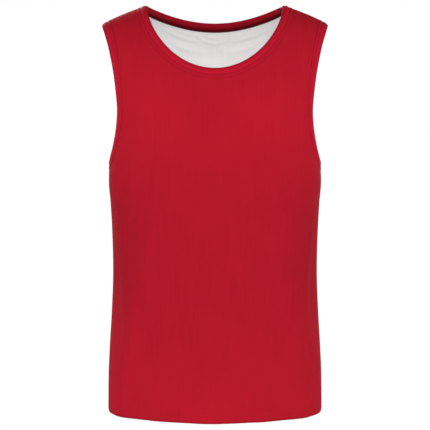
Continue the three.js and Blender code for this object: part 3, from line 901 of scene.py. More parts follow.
def new_material(name):
    material = bpy.data.materials.new(name)
    material.use_nodes = True
    material.node_tree.nodes.clear()
    nodes = Nodes(material.node_tree)
    shader = nodes.add("ShaderNodeBsdfPrincipled")
    nodes.add("ShaderNodeOutputMaterial", {"Surface": shader.outputs["BSDF"]})
    return material, nodes, shader


def on_cloth(nodes):
    return nodes.add("ShaderNodeAttribute", attribute_name="cloth").outputs["Vector"]


def bumped(nodes, height, strength, distance):
    values = {"Height": height, "Strength": strength, "Distance": distance}
    return nodes.add("ShaderNodeBump", values).outputs["Normal"]


def grey(tone):
    return tone, tone, tone, 1


def knit_material(name, look):
    """A knit without its base colour, and what that is made from: eyelets, yarn and place."""
    material, n, shader = new_material(name)
    cloth = on_cloth(n)
    knit = n.add("ShaderNodeGroup", {"Cloth": cloth, **look["knit"]}, node_tree=MESH_KNIT)
    tone = n.add("ShaderNodeGroup", {"Cloth": cloth, **look["tone"]}, node_tree=CLOTH_TONE)
    yarn = n.mix(tone.outputs["Tone"], (*look["dark"], 1), (*look["light"], 1))
    eyelets = knit.outputs["Eyelets"]
    finish = {
        "Roughness": n.math("MULTIPLY_ADD", eyelets, look["rougher"], look["rough"]),
        "Specular IOR Level": look["gloss"],
        "Sheen Weight": SHEEN,
        "Sheen Roughness": look["bloom"],
        "Sheen Tint": (*look["sheen"], 1),
        "Normal": bumped(n, knit.outputs["Height"], *look["bump"]),
    }
    n.fill(shader, finish)
    return material, n, shader.inputs["Base Color"], eyelets, yarn, n.split(cloth)["Y"]


print("every knit has a sheen of", SHEEN)

# %% [markdown]
# The two mesh materials differ in colour and a little in gloss. Eyelets get painted shade, a
# deeper tone for the shade seen into the cloth, and so do the lowest millimetres of the cloth,
# with painted shade where the hem's fold curls away from the light.

# %% Red mesh and white mesh
# How far the eyelets are mixed towards their deeper colour, which is painted shade.
EYELET_SHADE_SHARE = 0.55
FOLD_SHADE_HEIGHT = 0.004
MESH_LOOK = {
    "knit": {},
    "tone": {"Patches": 0.7, "Streaks": 0.9},
    "rough": 0.78,
    "rougher": 0.12,
    "bloom": 0.55,
    "bump": (0.35, 0.00012),
}
RED_LOOK = {
    **MESH_LOOK,
    "dark": (0.41, 0.0068, 0.018),
    "light": (0.53, 0.0096, 0.0255),
    # eyelet: a deeper colour, painted shade in the eyelets
    "eyelet": (0.34, 0.0048, 0.0125),
    # fold: the tone of the painted shade along the hem's fold
    "fold": 0.74,
    "sheen": (1, 0.25, 0.3),
    "gloss": 0.05,
}
WHITE_LOOK = {
    **MESH_LOOK,
    "dark": (0.885, 0.87, 0.865),
    "light": (0.96, 0.95, 0.945),
    # eyelet: a deeper colour, painted shade in the eyelets
    "eyelet": (0.82, 0.81, 0.81),
    # fold: the tone of the painted shade along the hem's fold
    "fold": 0.92,
    "sheen": (1, 1, 1),
    "gloss": 0.08,
}


def mesh_material(name, look):
    material, n, base, eyelets, yarn, up = knit_material(name, look)
    # Painted shade in the eyelets: the yarn mixed towards their deeper colour.
    cloth = n.mix(n.math("MULTIPLY", eyelets, EYELET_SHADE_SHARE), yarn, (*look["eyelet"], 1))
    # Painted shade along the hem's fold, fading out a few millimetres above it.
    above_fold = n.smooth_step(up, 0.0, FOLD_SHADE_HEIGHT)
    shade = n.mix(above_fold, grey(look["fold"]), grey(1))
    n.put(base, n.mix(1, cloth, shade, "MULTIPLY"))
    return material


RED_MESH = mesh_material("Red mesh knit", RED_LOOK)
WHITE_MESH = mesh_material("White mesh knit", WHITE_LOOK)
print("mesh materials:", RED_MESH.name, "and", WHITE_MESH.name)

# %% [markdown]
# The binding is a strip of closer red knit with light and shade painted into its colour across
# it: painted shade at the fold, a painted highlight on the soft roll beside it, painted shade again
# in the stitched channel, and the deepest painted shade at the end of the inner leg, which lies in
# shade. Relief and light alone show this too faintly on so narrow a strip. So one colour ramp holds
# this painted light and shade, by the distance from the fold in millimetres, which is positive
# outside and negative inside. It is the second number of the attribute "cloth".

# %% Red binding
CHANNEL = 10.6
FOLD_WAY = 3
INNER_REACH = FOLD_WAY + BINDING_WIDTH
INNER_SHADE = (0.12, 0.22, 0.14, 1)
# Painted shade (below 1) and painted highlight (above 1) across the binding, by mm from the fold.
BINDING_PAINTED_LIGHT = {
    -17: INNER_SHADE,
    -5: grey(0.82),
    -1.5: grey(0.8),
    0: grey(0.7),
    3.6: grey(0.99),
    7.4: grey(1.05),
    CHANNEL: grey(0.82),
    12.4: grey(0.94),
    BINDING_WIDTH: grey(0.97),
}
BINDING_LOOK = {
    "knit": {"Wale Spacing": 0.0009, "Course Spacing": 0.001, "Eyelet Size": 0.1},
    "tone": {"Patches": 0.5, "Streaks": 0.7},
    "dark": (0.435, 0.0056, 0.0195),
    "light": (0.54, 0.0078, 0.027),
    "rough": 0.76,
    "rougher": 0.1,
    "bloom": 0.5,
    "bump": (0.3, 0.0001),
    "sheen": RED_LOOK["sheen"],
    "gloss": 0.06,
}


def binding_material(name, look):
    material, n, base, _, yarn, from_fold = knit_material(name, look)
    strip = BINDING_WIDTH + INNER_REACH
    share = n.math("MULTIPLY_ADD", from_fold, 1 / (strip * MM), INNER_REACH / strip)
    # This ramp paints shade and highlight across the strip into its colour.
    across = n.add("ShaderNodeValToRGB", {"Fac": share})
    across.color_ramp.interpolation = "EASE"
    stops = across.color_ramp.elements
    stops.remove(stops[1])
    for distance, tone in BINDING_PAINTED_LIGHT.items():
        place = (distance + INNER_REACH) / strip
        stop = stops[0] if tone is INNER_SHADE else stops.new(place)
        stop.position, stop.color = place, tone
    n.put(base, n.mix(1, yarn, across.outputs["Color"], "MULTIPLY"))
    return material


RED_BINDING = binding_material("Red binding knit", BINDING_LOOK)
print(RED_BINDING.name, "has", len(BINDING_PAINTED_LIGHT), "tones across it")

# %% [markdown]
# Sewing thread is twisted from thinner yarns, so it has slanting lighter and darker bands, and it
# is a little glossier than the cloth. The yarns are too thin to be modelled one by one, and a wave
# texture gives the bands.

# %% Threads
TWIST_SCALE = 900
TWIST_BUMP = (0.3, 0.00005)
THREAD_ROUGH = 0.6
THREAD_ROUGH_CHANGE = -0.1


def thread_material(name, dark, light, gloss):
    material, n, shader = new_material(name)
    wave = {"wave_type": "BANDS", "bands_direction": "DIAGONAL"}
    values = {"Vector": on_cloth(n), "Scale": TWIST_SCALE}
    twist = n.add("ShaderNodeTexWave", values, **wave).outputs["Fac"]
    finish = {
        "Base Color": n.mix(twist, (*dark, 1), (*light, 1)),
        "Roughness": n.math("MULTIPLY_ADD", twist, THREAD_ROUGH_CHANGE, THREAD_ROUGH),
        "Specular IOR Level": gloss,
        "Normal": bumped(n, twist, *TWIST_BUMP),
    }
    n.fill(shader, finish)
    return material


# The red thread is darker than the cloth around it: painted shade of the dented lines it lies in.
RED_THREAD = thread_material("Red thread", (0.3, 0.005, 0.016), (0.44, 0.01, 0.028), 0.2)
WHITE_THREAD = thread_material("White thread", (0.74, 0.73, 0.73), (0.9, 0.9, 0.9), 0.3)
print("threads:", RED_THREAD.name, "and", WHITE_THREAD.name)

# %% [markdown]
# ## From a net to a sheet of cloth
#
# A mesh gets its points in metres and its faces from the net's cells. Both faces of the cloth could
# be made like this, but one in its middle is enough: Solidify gives it the thickness of the cloth,
# so that cut edges and hems have a real section.

# %% Sheet helper
CLOTH = 0.8


def ring_of(places):
    """Places round an opening, with the first one again at the end."""
    return np.concatenate([places, places[:1]])


def net_faces(there, closed=False, reverse=False):
    """The four-cornered faces between the points of a net that are there."""
    number = np.cumsum(there.ravel()).reshape(there.shape) - 1
    number[~there] = -1
    if closed:
        number = ring_of(number)
    corners = [number[:-1, :-1], number[1:, :-1], number[1:, 1:], number[:-1, 1:]]
    faces = np.stack(corners, axis=-1).reshape(-1, 4)
    faces = faces[(faces >= 0).all(axis=1)]
    return faces[:, ::-1] if reverse else faces


def new_piece(name, points, faces, cloth, material):
    mesh = bpy.data.meshes.new(name)
    mesh.from_pydata((points * MM).tolist(), [], faces.tolist())
    attribute = mesh.attributes.new("cloth", "FLOAT_VECTOR", "POINT")
    attribute.data.foreach_set("vector", cloth.astype(np.float32).ravel())
    mesh.shade_smooth()
    mesh.materials.append(material)
    piece = bpy.data.objects.new(name, mesh)
    scene.collection.objects.link(piece)
    return piece


def thicken(piece, thickness):
    solid = piece.modifiers.new("Cloth thickness", "SOLIDIFY")
    solid.thickness = thickness * MM
    solid.offset = 0
    solid.use_quality_normals = True


print("the cloth is", CLOTH, "mm thick")

# %% [markdown]
# ## The red and the white panels
#
# A hem is the same sheet of cloth turned round at the bottom and laid back on itself, so each
# panel is one sheet: the wall, a tight bend, and the turning. The red turning lies inside and the
# white one outside, between the layers, so that either side can be worn out. All plies are set
# off from the same smooth body along the same directions and share the same folds. The white
# wall steps inwards near the hem, to make room for the two turnings.

# %% Depths of the layers
GAP = 0.3
PLY = CLOTH + GAP
STEP_START = HEM_DEPTH + 3
STEP_HEIGHT = 32
RED_HANG = 0.2
WHITE_HANG = 0.3
WHITE_SHOWS = {"at": 150, "width": 42, "depth": 1.5}


def red_wall(up):
    return np.full(up.shape, -CLOTH / 2)


def white_wall(up):
    stepped = 1 - smooth((up - STEP_START) / STEP_HEIGHT)
    return -CLOTH / 2 - PLY - 2 * PLY * stepped


def red_hang(across):
    return np.full(across.shape, RED_HANG)


def white_hang(across):
    """How low the white hem hangs: a little lower than the red one, towards the sides."""
    away = (np.abs(across) - WHITE_SHOWS["at"]) / WHITE_SHOWS["width"]
    return WHITE_HANG + WHITE_SHOWS["depth"] * np.exp(-(away**2))


LAYERS = {
    "red": (red_wall, -CLOTH / 2 - PLY, red_hang, RED_MESH),
    "white": (white_wall, -CLOTH / 2 - 2 * PLY, white_hang, WHITE_MESH),
}
print("depth of the two turnings:", [round(layer[1], 2) for layer in LAYERS.values()], "mm")

# %% [markdown]
# The turning and its bend are rows of points below the wall's lowest row, worked out from the end
# of the turning down to the bend and round it. The bend is half a circle between the two depths.

# %% The turned hem
TURNING_STEPS = 5
BEND_STEPS = 6
BEND_UP = -0.5
HEM_STEP = 0.01


def hem_height(panel, hem):
    """Millimetres of cloth for each whole level, just above the hem."""
    step = body(panel, hem + [0, HEM_STEP]) - body(panel, hem)
    return np.linalg.norm(step, axis=-1) / HEM_STEP


def above_hem(panel, hem, height):
    """Places on the chart that lie some millimetres above the hem's fold."""
    return hem + [0, 1] * (height / hem_height(panel, hem))[:, None]


def turned_hem(panel, wall, turning, hang):
    hem = panel["net"][:, 0]
    across, up = measured(panel, hem)
    edge, out, lift = body(panel, hem), out_of(panel, hem), relief(panel, hem)
    downwards = unit(edge - body(panel, hem + [0, 2 * CHART_STEP]))
    middle, radius = (wall(up) + turning) / 2, (wall(up) - turning) / 2
    rows, ups = [], []
    for step in range(TURNING_STEPS):
        height = HEM_DEPTH * (1 - step / TURNING_STEPS)
        chart = above_hem(panel, hem, height)
        rows.append(body(panel, chart) + out * (relief(panel, chart) + turning)[:, None])
        ups.append(-height)
    for step in range(BEND_STEPS, -1, -1):
        angle = np.pi * step / BEND_STEPS
        reach = hang(across) + np.abs(radius) * np.sin(angle)
        place = edge + out * (lift + middle + radius * np.cos(angle))[:, None]
        rows.append(place + downwards * reach[:, None])
        ups.append(BEND_UP)
    places = np.stack(rows, axis=1)
    cloth = np.zeros(places.shape)
    cloth[..., 0] = across[:, None]
    cloth[..., 1] = ups
    return places, cloth


print("a turned hem adds", TURNING_STEPS + BEND_STEPS + 1, "rows of points")

# %% [markdown]
# Inside the back, under the neck, the white mesh isn't held flat. It has shallow crescents below
# the binding and slanting folds towards the shoulders. They are measured from the neckline.

# %% Creases of the white back
INNER_CREASES = [
    (-36, -20, 34, -21, -17, 3.4, -2.2, 0.1),
    (-27, -17, 27, -18, -10, 2.8, -1.6, 0.1),
    (-96, -10, -24, -34, -4, 3.8, -2.4, 0.2),
    (98, -9, 26, -35, 4, 3.8, -2.3, -0.2),
    (-72, -12, -20, -24, -3, 3.2, -1.6, 0.1),
    (76, -11, 24, -25, 3, 3.2, -1.6, -0.1),
    (-88, -30, -16, -54, -6, 5, -2.4, 0.1),
    (92, -26, 18, -56, 7, 5, -2.3, -0.1),
    (-116, -18, -62, -60, -5, 6, -2.8, 0.3),
    (114, -16, 58, -62, 6, 6, -2.7, -0.3),
    (-24, -46, -26, -66, 2, 4, -1.2, 0.1),
    (14, -44, 16, -64, -1, 3.4, -1.2, 0.1),
    (-44, -66, 34, -72, -10, 7, -2.0, 0.2),
]
NECK_UP = measured(BACK, BACK["neck"](np.array([0.0])))[1][0]
print(len(INNER_CREASES), "creases below a neckline", round(NECK_UP), "mm above the hem")

# %% [markdown]
# The wall is laid out over the whole net and joined to its hem. The same function makes all four
# panels, so that they can't drift apart, and only the white back gets creases of its own.

# %% Make the four panels
def panel_sheet(name, panel, layer, creases):
    wall, turning, hang, material = layer
    there = panel["there"]
    chart = panel["net"][there]
    across, up = measured(panel, chart)
    lift = relief(panel, chart) + sum(swell(across, up - NECK_UP, crease) for crease in creases)
    wall_points, wall_cloth = np.zeros((2, *there.shape, 3))
    wall_points[there] = body(panel, chart) + out_of(panel, chart) * (lift + wall(up))[:, None]
    wall_cloth[there] = np.stack([across, up, 0 * up], axis=-1)
    hem_points, hem_cloth = turned_hem(panel, wall, turning, hang)
    there = np.concatenate([np.full(hem_points.shape[:2], True), there], axis=1)
    points = np.concatenate([hem_points, wall_points], axis=1)[there]
    cloth = np.concatenate([hem_cloth, wall_cloth], axis=1)[there]
    faces = net_faces(there, reverse=panel is BACK)
    piece = new_piece(name, points, faces, cloth * MM, material)
    thicken(piece, CLOTH)
    print(name, len(points), "points")
    return piece


panels = {}
for panel in PANELS:
    for colour, layer in LAYERS.items():
        name = f"{colour}_{panel['name']}"
        creases = INNER_CREASES if name == "white_back" else []
        panels[name] = panel_sheet(name, panel, layer, creases)

# %% [markdown]
# ## Bindings
#
# The edges at the neck and the armholes are held in a folded strip: over the red layer, round the
# edge and back on the white one. A bevelled curve could sweep such a section along the cut line,
# but it would twist away from the cloth. Here, at each station, a direction leads from the edge
# into the cloth, and the section follows it. Where front and back meet, that direction is eased
# into the line of the seam, so that both halves of the strip join there.

# %% Lines beside an edge
ALONG_SHOULDER = np.array([0, -CHART_STEP])
INTO_FRONT = {"neck": np.array([CHART_STEP, 0]), "arm": np.array([-CHART_STEP, 0])}
HANDS = {"neck": 1, "arm": -1}
NEWTON_STEP = 1e-4
NEWTON_PASSES = 10


def dot(a, b):
    return (a * b).sum(-1)


def chart_below(panel, chart, target):
    """The places on the chart below some points in space, found by Newton's method."""
    for _ in range(NEWTON_PASSES):
        place = body(panel, chart)
        by_turn = (place - body(panel, chart - [NEWTON_STEP, 0])) / NEWTON_STEP
        by_level = (place - body(panel, chart - [0, NEWTON_STEP])) / NEWTON_STEP
        off_turn, off_level = dot(target - place, by_turn), dot(target - place, by_level)
        turns, both, levels = dot(by_turn, by_turn), dot(by_turn, by_level), dot(by_level, by_level)
        move = [off_turn * levels - off_level * both, off_level * turns - off_turn * both]
        move = np.stack(move, axis=-1) / (turns * levels - both * both)[..., None]
        chart = np.minimum(chart + move, [QUARTER_TURN, 2])
    return chart


def beside(panel, which, share, distances):
    """Chart places at some distances from an edge into the cloth, for each share of its path."""
    path = panel[which]
    edge = path(share)
    here = body(panel, edge)
    run = body(panel, path(share + CHART_STEP)) - body(panel, path(share - CHART_STEP))
    inward = HANDS[which] * unit(np.cross(run, np.cross(*steps_round(panel, edge))))
    travelled = run_along(here)
    ends = (ALONG_SHOULDER, INTO_FRONT[which])
    for end, away in zip(ends, (travelled, travelled[-1] - travelled)):
        nearest = np.argmin(away)
        seam = unit(body(panel, edge[nearest] + end) - here[nearest])
        weight = np.exp(-((away / BINDING_WIDTH) ** 2))[:, None]
        inward = unit(inward * (1 - weight) + seam * weight)
    target = here[:, None] + inward[:, None] * np.asarray(distances, float)[None, :, None]
    return chart_below(panel, np.repeat(edge[:, None], len(distances), axis=1), target)


middle = beside(FRONT, "neck", np.array([0.0, 0.01]), [CHANNEL])[0, 0]
print(f"the channel passes {measured(FRONT, middle)[1]:.0f} mm above the hem in front")

# %% [markdown]
# A ring runs once round an opening. For the neck, each panel is passed twice, on the left and, as
# a mirror image, on the right. For the other armhole the whole ring is mirrored.

# %% Rings round the openings
EDGE_COUNTS = {"neck": {"front": 90, "back": 56}, "arm": {"front": 92, "back": 92}}


def edge_ring(which, side, distances):
    """Places, directions and relief along a whole edge, for each distance into the cloth."""
    charts = []
    for panel in PANELS:
        share = spaced(panel, panel[which], EDGE_COUNTS[which][panel["name"]])
        charts.append(beside(panel, which, share, distances))
    front, back = charts
    if which == "neck":
        parts = [(FRONT, front), (BACK, back[-2::-1])]
        parts += [(BACK, mirrored(back[1:])), (FRONT, mirrored(front[-2:0:-1]))]
    else:
        parts = [(FRONT, front), (BACK, back[-2:0:-1])]
    if side < 0:
        parts = [(panel, mirrored(chart)) for panel, chart in parts]
    found = [[f(panel, chart) for f in (body, out_of, relief)] for panel, chart in parts]
    return [np.concatenate(column) for column in zip(*found)]


for which in ("neck", "arm"):
    print(f"{which} edge: {gaps(ring_of(edge_ring(which, 1, [0])[0][:, 0])).sum():.0f} mm round")

# %% [markdown]
# The section starts at the outer raw edge, runs to the fold, round it and back on the inside.
# Outside, the strip rises from the red cloth in two soft rolls, a high one beside the fold and a
# low one beyond the channel, where stitches pull it down. A second line of stitches makes a
# slighter dent near the raw edge.

# %% Section of a binding
STRIP = 0.7
STRIP_GAP = 0.15
STRIP_OUT = STRIP_GAP + STRIP / 2
STRIP_IN = -2 * CLOTH - GAP - STRIP_GAP - STRIP / 2
LEG = np.array([BINDING_WIDTH, 15.2, 14.2, 12.8, 11.6, CHANNEL, 9.6, 8.2, 6.4, 4.4, 2.4, 0.9, 0])
ROLL = 1.0
OUTER_ROLL = 0.5
EDGE_LINE = BINDING_WIDTH - 1.8
INNER_DENT = 0.5
DENTS = [
    {"at": CHANNEL, "width": 1.1, "depth": 0.12},
    {"at": EDGE_LINE, "width": 0.9, "depth": 0.08},
]


def dent(distance):
    return sum(d["depth"] * np.exp(-(((distance - d["at"]) / d["width"]) ** 2)) for d in DENTS)


def outer_height(distance):
    """The strip's height over the red cloth: two soft rolls with the channel between them."""
    beyond = (distance - CHANNEL) / (BINDING_WIDTH - CHANNEL)
    share = np.where(distance < CHANNEL, distance / CHANNEL, beyond)
    roll = np.where(distance < CHANNEL, ROLL, OUTER_ROLL)
    return STRIP_OUT + roll * np.sin(np.pi * share) ** 2 - dent(distance)


def inner_height(distance):
    return STRIP_IN + INNER_DENT * dent(distance)


print("height of roll and channel:", outer_height(np.array([CHANNEL / 2, CHANNEL])).round(2), "mm")

# %% [markdown]
# The sections of all stations make the strip's net, which closes on itself. The attribute's third
# number leads from 1 outside to -1 at the end of the inner leg. It only shifts the pattern of the
# tones, so that they don't repeat inside.

# %% Make the bindings
FOLD_REACH = 0.9
FOLD_STEPS = 7


def binding(name, which, side):
    places, out, lift = edge_ring(which, side, LEG)
    away = unit(places[:, -1] - places[:, -2])
    run = np.cumsum(gaps(ring_of(places[:, -1])))
    section, cloth = [], []

    def add(k, height, reach, mark, beyond=0):
        """Adds one line of the net, so high over the cloth and so far beyond the edge."""
        place = places[:, k] + out[:, k] * (lift[:, k] + height)[:, None]
        section.append(place + away * beyond)
        cloth.append(np.stack([run, 0 * run + reach, 0 * run + mark / MM], axis=-1))

    for k, distance in enumerate(LEG):
        add(k, outer_height(distance), distance, 1)
    middle, radius = (STRIP_OUT + STRIP_IN) / 2, (STRIP_OUT - STRIP_IN) / 2
    for step in range(1, FOLD_STEPS):
        cosine, sine = np.cos(np.pi * step / FOLD_STEPS), np.sin(np.pi * step / FOLD_STEPS)
        reach = -FOLD_WAY * step / (FOLD_STEPS - 1)
        add(-1, middle + radius * cosine, reach, max(cosine, 0), FOLD_REACH * sine)
    for k in range(len(LEG) - 1, -1, -1):
        add(k, inner_height(LEG[k]), -FOLD_WAY - LEG[k], -LEG[k] / BINDING_WIDTH)
    points, cloth = np.stack(section, axis=1), np.stack(cloth, axis=1)
    there = np.full(points.shape[:2], True)
    faces = net_faces(there, closed=True, reverse=which == "arm" and side > 0)
    piece = new_piece(name, points.reshape(-1, 3), faces, cloth.reshape(-1, 3) * MM, RED_BINDING)
    thicken(piece, STRIP)
    print(f"{name}: {run[-1]:.0f} mm long")
    return piece


OPENINGS = [
    ("neck_strip", "neck_stitches", "neck", 1),
    ("arm_strip_left", "arm_stitches_left", "arm", 1),
    ("arm_strip_right", "arm_stitches_right", "arm", -1),
]
bindings = {strip: binding(strip, which, side) for strip, _, which, side in OPENINGS}

# %% [markdown]
# ## Stitching
#
# Each visible stitch is a short piece of thread that rises from the cloth and dips back into it. A
# bump in the cloth could hint at that, but real thread stands proud and catches light of its own.
# One small capsule is worked out and repeated along a line on the cloth, each copy turned to follow
# the line and the surface, so a row of hundreds is one light mesh.

# %% Stitch helper
STITCH = 2.5
STITCH_PITCH = 3.2
STITCH_DIVE = 0.9
THREAD_RADIUS = 0.24
STITCH_RINGS = np.array([(-0.5, 0.3), (-0.36, 0.85), (0, 1), (0.36, 0.85), (0.5, 0.3)])
STITCH_SIDES = 6


def one_stitch():
    """A stitch's points, along it, beside it and up from the cloth, and its faces."""
    angle = np.arange(STITCH_SIDES) * 2 * np.pi / STITCH_SIDES
    along, thick = STITCH_RINGS[:, :1], THREAD_RADIUS * STITCH_RINGS[:, 1:]
    x = along * STITCH + 0 * angle
    y = thick * np.cos(angle)
    z = thick * np.sin(angle) - STITCH_DIVE * THREAD_RADIUS * (2 * along) ** 4
    rings = len(STITCH_RINGS)
    faces = net_faces(np.full((STITCH_SIDES, rings), True), closed=True, reverse=True)
    return x, y, z, (faces % rings) * STITCH_SIDES + faces // rings


def stitch_row(name, places, out, material):
    """A closed row of stitches along a line on the cloth."""
    places, out = ring_of(places), ring_of(out)
    run = run_along(places)
    count = int(run[-1] / STITCH_PITCH)
    at = (np.arange(count) + 0.5) * run[-1] / count

    def along(distance, values):
        return np.stack([np.interp(distance, run, values[:, k]) for k in range(3)], axis=-1)

    normal = unit(along(at, out))
    ahead = unit(along(at + 1, places) - along(at - 1, places))
    x, y, z, one = one_stitch()
    points = along(at, places)[:, None, None] + sum(
        axis[:, None, None] * amount[None, ..., None]
        for axis, amount in ((ahead, x), (np.cross(normal, ahead), y), (normal, z))
    )
    faces = (one[None] + x.size * np.arange(count)[:, None, None]).reshape(-1, 4)
    cloth = np.zeros(points.shape)
    cloth[..., 0] = at[:, None, None] + x
    cloth[..., 1] = y
    return new_piece(name, points.reshape(-1, 3), faces, cloth.reshape(-1, 3) * MM, material)


print("a stitch is", STITCH, "mm long, one every", STITCH_PITCH, "mm")

# %% [markdown]
# A binding is held by one line in its channel and one near its outer edge, and the inner leg
# shows the second line too.

# %% Sew the bindings
stitching = {}


def sew(name, which, side):
    places, out, lift = edge_ring(which, side, [CHANNEL, EDGE_LINE])
    lines = {
        "channel": (0, outer_height(CHANNEL) + STRIP / 2, 1),
        "edge": (1, outer_height(EDGE_LINE) + STRIP / 2, 1),
        "inside": (1, inner_height(EDGE_LINE) - STRIP / 2, -1),
    }
    for line, (k, height, outwards) in lines.items():
        row = places[:, k] + out[:, k] * (lift[:, k] + height)[:, None]
        piece = stitch_row(f"{name}_{line}", row, outwards * out[:, k], RED_THREAD)
        stitching[piece.name] = piece


for _, stitches, which, side in OPENINGS:
    sew(stitches, which, side)
print(len(stitching), "rows of stitches on the bindings")

# %% [markdown]
# A hem has one row, nearly a hem's depth above the fold, round the front and the back. The red one
# lies on the outside of the red wall and the white one on the inside of the white wall.

# %% Sew the hems
HEM_LINE = HEM_DEPTH - 1.5
HEM_STATIONS = 240


def hem_stitches(name, height, outwards, material):
    turns = np.linspace(-QUARTER_TURN, QUARTER_TURN, HEM_STATIONS)
    hem = np.stack([turns, np.zeros(turns.shape)], axis=-1)
    rows, outs = [], []
    for panel, order in ((FRONT, slice(None)), (BACK, slice(-2, 0, -1))):
        chart = above_hem(panel, hem, HEM_LINE)
        out = out_of(panel, chart)
        row = body(panel, chart) + out * (relief(panel, chart) + height)[:, None]
        rows.append(row[order])
        outs.append(outwards * out[order])
    return stitch_row(name, np.concatenate(rows), np.concatenate(outs), material)


for piece in (
    hem_stitches("red_hem_stitches", 0, 1, RED_THREAD),
    hem_stitches("white_hem_stitches", -CLOTH - 3 * PLY, -1, WHITE_THREAD),
):
    stitching[piece.name] = piece
print(len(stitching), "rows of stitches in all")

# %% [markdown]
# ## Fitting the pieces to the model
#
# Every sheet takes the place of its solid. All pieces ride with the bib's one body.

# %% Replace the solids
REPLACED = {
    "red_front": "outer_front",
    "red_back": "outer_back",
    "white_front": "inner_front",
    "white_back": "inner_back",
    "neck_strip": "neck_binding",
    "arm_strip_left": "armhole_binding_left",
    "arm_strip_right": "armhole_binding_right",
}
for name, piece in {**panels, **bindings}.items():
    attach(piece, "root")
    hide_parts(REPLACED[name])
    "red_binding" if name in bindings else f"{name.split('_')[0]}_mesh"
for name, piece in stitching.items():
    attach(piece, "root")
print("root carries", len(panels) + len(bindings) + len(stitching), "pieces")

# %% [markdown]
# The size of each sheet's cut is worked out and printed. For a panel that is the rectangle it is
# cut from, measured with the tape, and its true area, summed over the net's cells on the smooth
# body. Both have the hem's turning added.

def cut_area(panel):
    """The area of a panel's cut in square metres, with its hem's turning."""
    there = panel["there"]
    points = body(panel, np.where(there[..., None], panel["net"], 0.0))
    a, b, c, d = points[:-1, :-1], points[1:, :-1], points[1:, 1:], points[:-1, 1:]
    whole = there[:-1, :-1] & there[1:, :-1] & there[1:, 1:] & there[:-1, 1:]
    double = np.linalg.norm(np.cross(c - a, d - b), axis=-1)
    return (double[whole].sum() / 2 + 2 * HALF_HEM * HEM_DEPTH) * MM * MM


def cut_size(panel):
    across, up = measured(panel, panel["net"][panel["there"]])
    return 2 * across.max() * MM, (up.max() + HEM_DEPTH) * MM


for panel in PANELS:
    area, size = cut_area(panel), cut_size(panel)
    print(f"{panel['name']} cut: {size[0]:.3f} x {size[1]:.3f} m, {area:.4f} square metres")

# %% [markdown]
# A binding's strip is as wide as its two legs and a little more for the way round the edge, and
# it is as long as the edge.

ROUND_THE_EDGE = 4
STRIP_CUT_WIDTH = 2 * BINDING_WIDTH + ROUND_THE_EDGE
LENGTH_STATIONS = 400


def strip_length(which):
    sides = 2 if which == "neck" else 1
    total = 0
    for panel in PANELS:
        places = body(panel, panel[which](np.linspace(0, 1, LENGTH_STATIONS)))
        total += sides * gaps(places).sum()
    return total * MM


for strip, stitches, which, _ in OPENINGS:
    flat = (STRIP_CUT_WIDTH * MM, strip_length(which))
    print(f"{strip} cut: {flat[0]:.3f} x {flat[1]:.3f} m")

# %% [markdown]
# ## Stage, light and camera
#
# The bib hangs at the height at which a standing person wears it, over a round pale floor. Lit by
# the lamps alone the floor would look grey, and a floor that glows would light the bib from below.
# So it glows a little, but only for the camera.

# %% Floor
FLOOR_DOWN = -1.4
FLOOR_RADIUS = 2.6
FLOOR_CORNERS = 64
FLOOR_GLOW = 0.5
FLOOR_SPECKS = 40
FLOOR_ROUGH = 0.9


def floor_material():
    material, n, shader = new_material("Pale floor")
    eye = n.add("ShaderNodeLightPath").outputs["Is Camera Ray"]
    finish = {
        "Base Color": n.mix(n.noise(FLOOR_SPECKS), grey(0.8), grey(0.84)),
        "Roughness": FLOOR_ROUGH,
        "Emission Color": grey(1),
        "Emission Strength": n.math("MULTIPLY", eye, FLOOR_GLOW),
    }
    n.fill(shader, finish)
    return material


angles = np.linspace(0, 2 * np.pi, FLOOR_CORNERS + 1)[:-1]
rim = [(FLOOR_RADIUS * np.cos(a), FLOOR_RADIUS * np.sin(a), FLOOR_DOWN) for a in angles]
disc = bpy.data.meshes.new("floor")
disc.from_pydata(rim, [], [list(range(FLOOR_CORNERS))])
disc.materials.append(floor_material())
floor = bpy.data.objects.new("floor", disc)
scene.collection.objects.link(floor)
print("the floor is", -FLOOR_DOWN, "m below the shoulders")

# %% [markdown]
# The world is white, as in a light tent. It could light the bib by itself, but then no fold would
# show, so it does that only weakly. Lamps in front, at the sides and behind do most of it, and
# small spots add soft pools of light.

# %% World
WORLD_LIGHT = 0.25


def make_world():
    world = bpy.data.worlds.new("Studio")
    world.use_nodes = True
    world.node_tree.nodes.clear()
    n = Nodes(world.node_tree)
    eye = n.add("ShaderNodeLightPath").outputs["Is Camera Ray"]
    mixed = n.add("ShaderNodeMixShader", {"Fac": eye})
    for socket, strength in ((1, WORLD_LIGHT), (2, 1)):
        values = {"Color": grey(1), "Strength": strength}
        n.put(mixed.inputs[socket], n.add("ShaderNodeBackground", values).outputs[0])
    n.add("ShaderNodeOutputWorld", {"Surface": mixed.outputs[0]})
    return world


scene.world = make_world()
scene.view_settings.view_transform = "Standard"
print("the world's light is", WORLD_LIGHT)

# %% [markdown]
# The key lamp makes the chest a little brighter than the sides, and two lamps behind keep the
# back from going dull. The spots light the sides of the chest, the hem and the inside of the
# neck, which the front would shade.

# %% Lamps
CENTRE = (0, 0, -0.33)
SPOT_SOFTNESS = 0.05


def put_up(name, data, place, aim, watts):
    data.energy = watts
    light = bpy.data.objects.new(name, data)
    light.location = place
    light.rotation_euler = (Vector(aim) - Vector(place)).to_track_quat("-Z", "Y").to_euler()
    light.visible_camera = False
    scene.collection.objects.link(light)


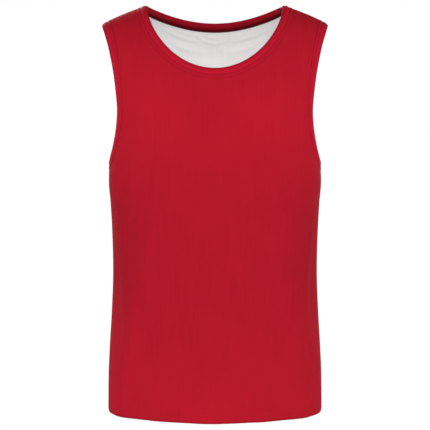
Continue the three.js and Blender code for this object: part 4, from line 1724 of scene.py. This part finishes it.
def lamp(name, place, size, watts):
    data = bpy.data.lights.new(name, "AREA")
    data.size = size
    put_up(name, data, place, CENTRE, watts)


def spot(name, place, aim, reach, watts):
    """A soft round pool of light, so many metres in radius where it falls."""
    data = bpy.data.lights.new(name, "SPOT")
    data.spot_size = 2 * np.arctan(reach / (Vector(aim) - Vector(place)).length)
    data.spot_blend = 1
    data.shadow_soft_size = SPOT_SOFTNESS
    put_up(name, data, place, aim, watts)


lamp("key", (0.08, -2.0, 0.5), 1.0, 19.5)
lamp("side_left", (-2.0, -1.3, -0.4), 0.9, 14)
lamp("side_right", (2.0, -1.3, -0.4), 0.9, 14)
lamp("back_key", (-0.9, 1.8, 0.7), 1.0, 32)
lamp("back_fill", (1.0, 2.0, 0.1), 1.2, 12)
spot("chest_left", (-1.3, -1.3, 0.0), (-0.15, -0.07, -0.17), 0.15, 21)
spot("chest_right", (1.3, -1.3, 0.0), (0.15, -0.07, -0.17), 0.15, 21)
spot("chest_middle", (0, -1.9, 0.0), (0, -0.13, -0.19), 0.12, 8)
spot("neck_inside", (0, -2.2, 0.03), (0, 0.09, -0.015), 0.055, 20)
spot("hem_left", (-1.3, -1.2, -0.7), (-0.16, -0.07, -0.64), 0.2, 14)
spot("hem_right", (1.3, -1.2, -0.7), (0.16, -0.07, -0.64), 0.2, 14)
spot("hem_middle", (0, -1.8, -0.8), (0, -0.12, -0.67), 0.07, 16)
print(len(bpy.data.lights), "lights")

# %% [markdown]
# The camera stands a few paces away, a little above the middle of the bib and tilted down to it,
# with a long lens, so that near and far parts show in nearly the same scale.

# %% Camera
CAMERA_DISTANCE = 2.6
CAMERA_UP = -0.249
CAMERA_TILT = np.radians(1.92)
LENS = 127.9
SENSOR = 36
lens = bpy.data.cameras.new("camera")
lens.sensor_width = SENSOR
lens.lens = LENS
camera = bpy.data.objects.new("camera", lens)
camera.location = (0, -CAMERA_DISTANCE, CAMERA_UP)
camera.rotation_euler = (np.pi / 2 - CAMERA_TILT, 0, 0)
scene.collection.objects.link(camera)
scene.camera = camera
print("the camera is", CAMERA_DISTANCE, "m from the shoulders' line")
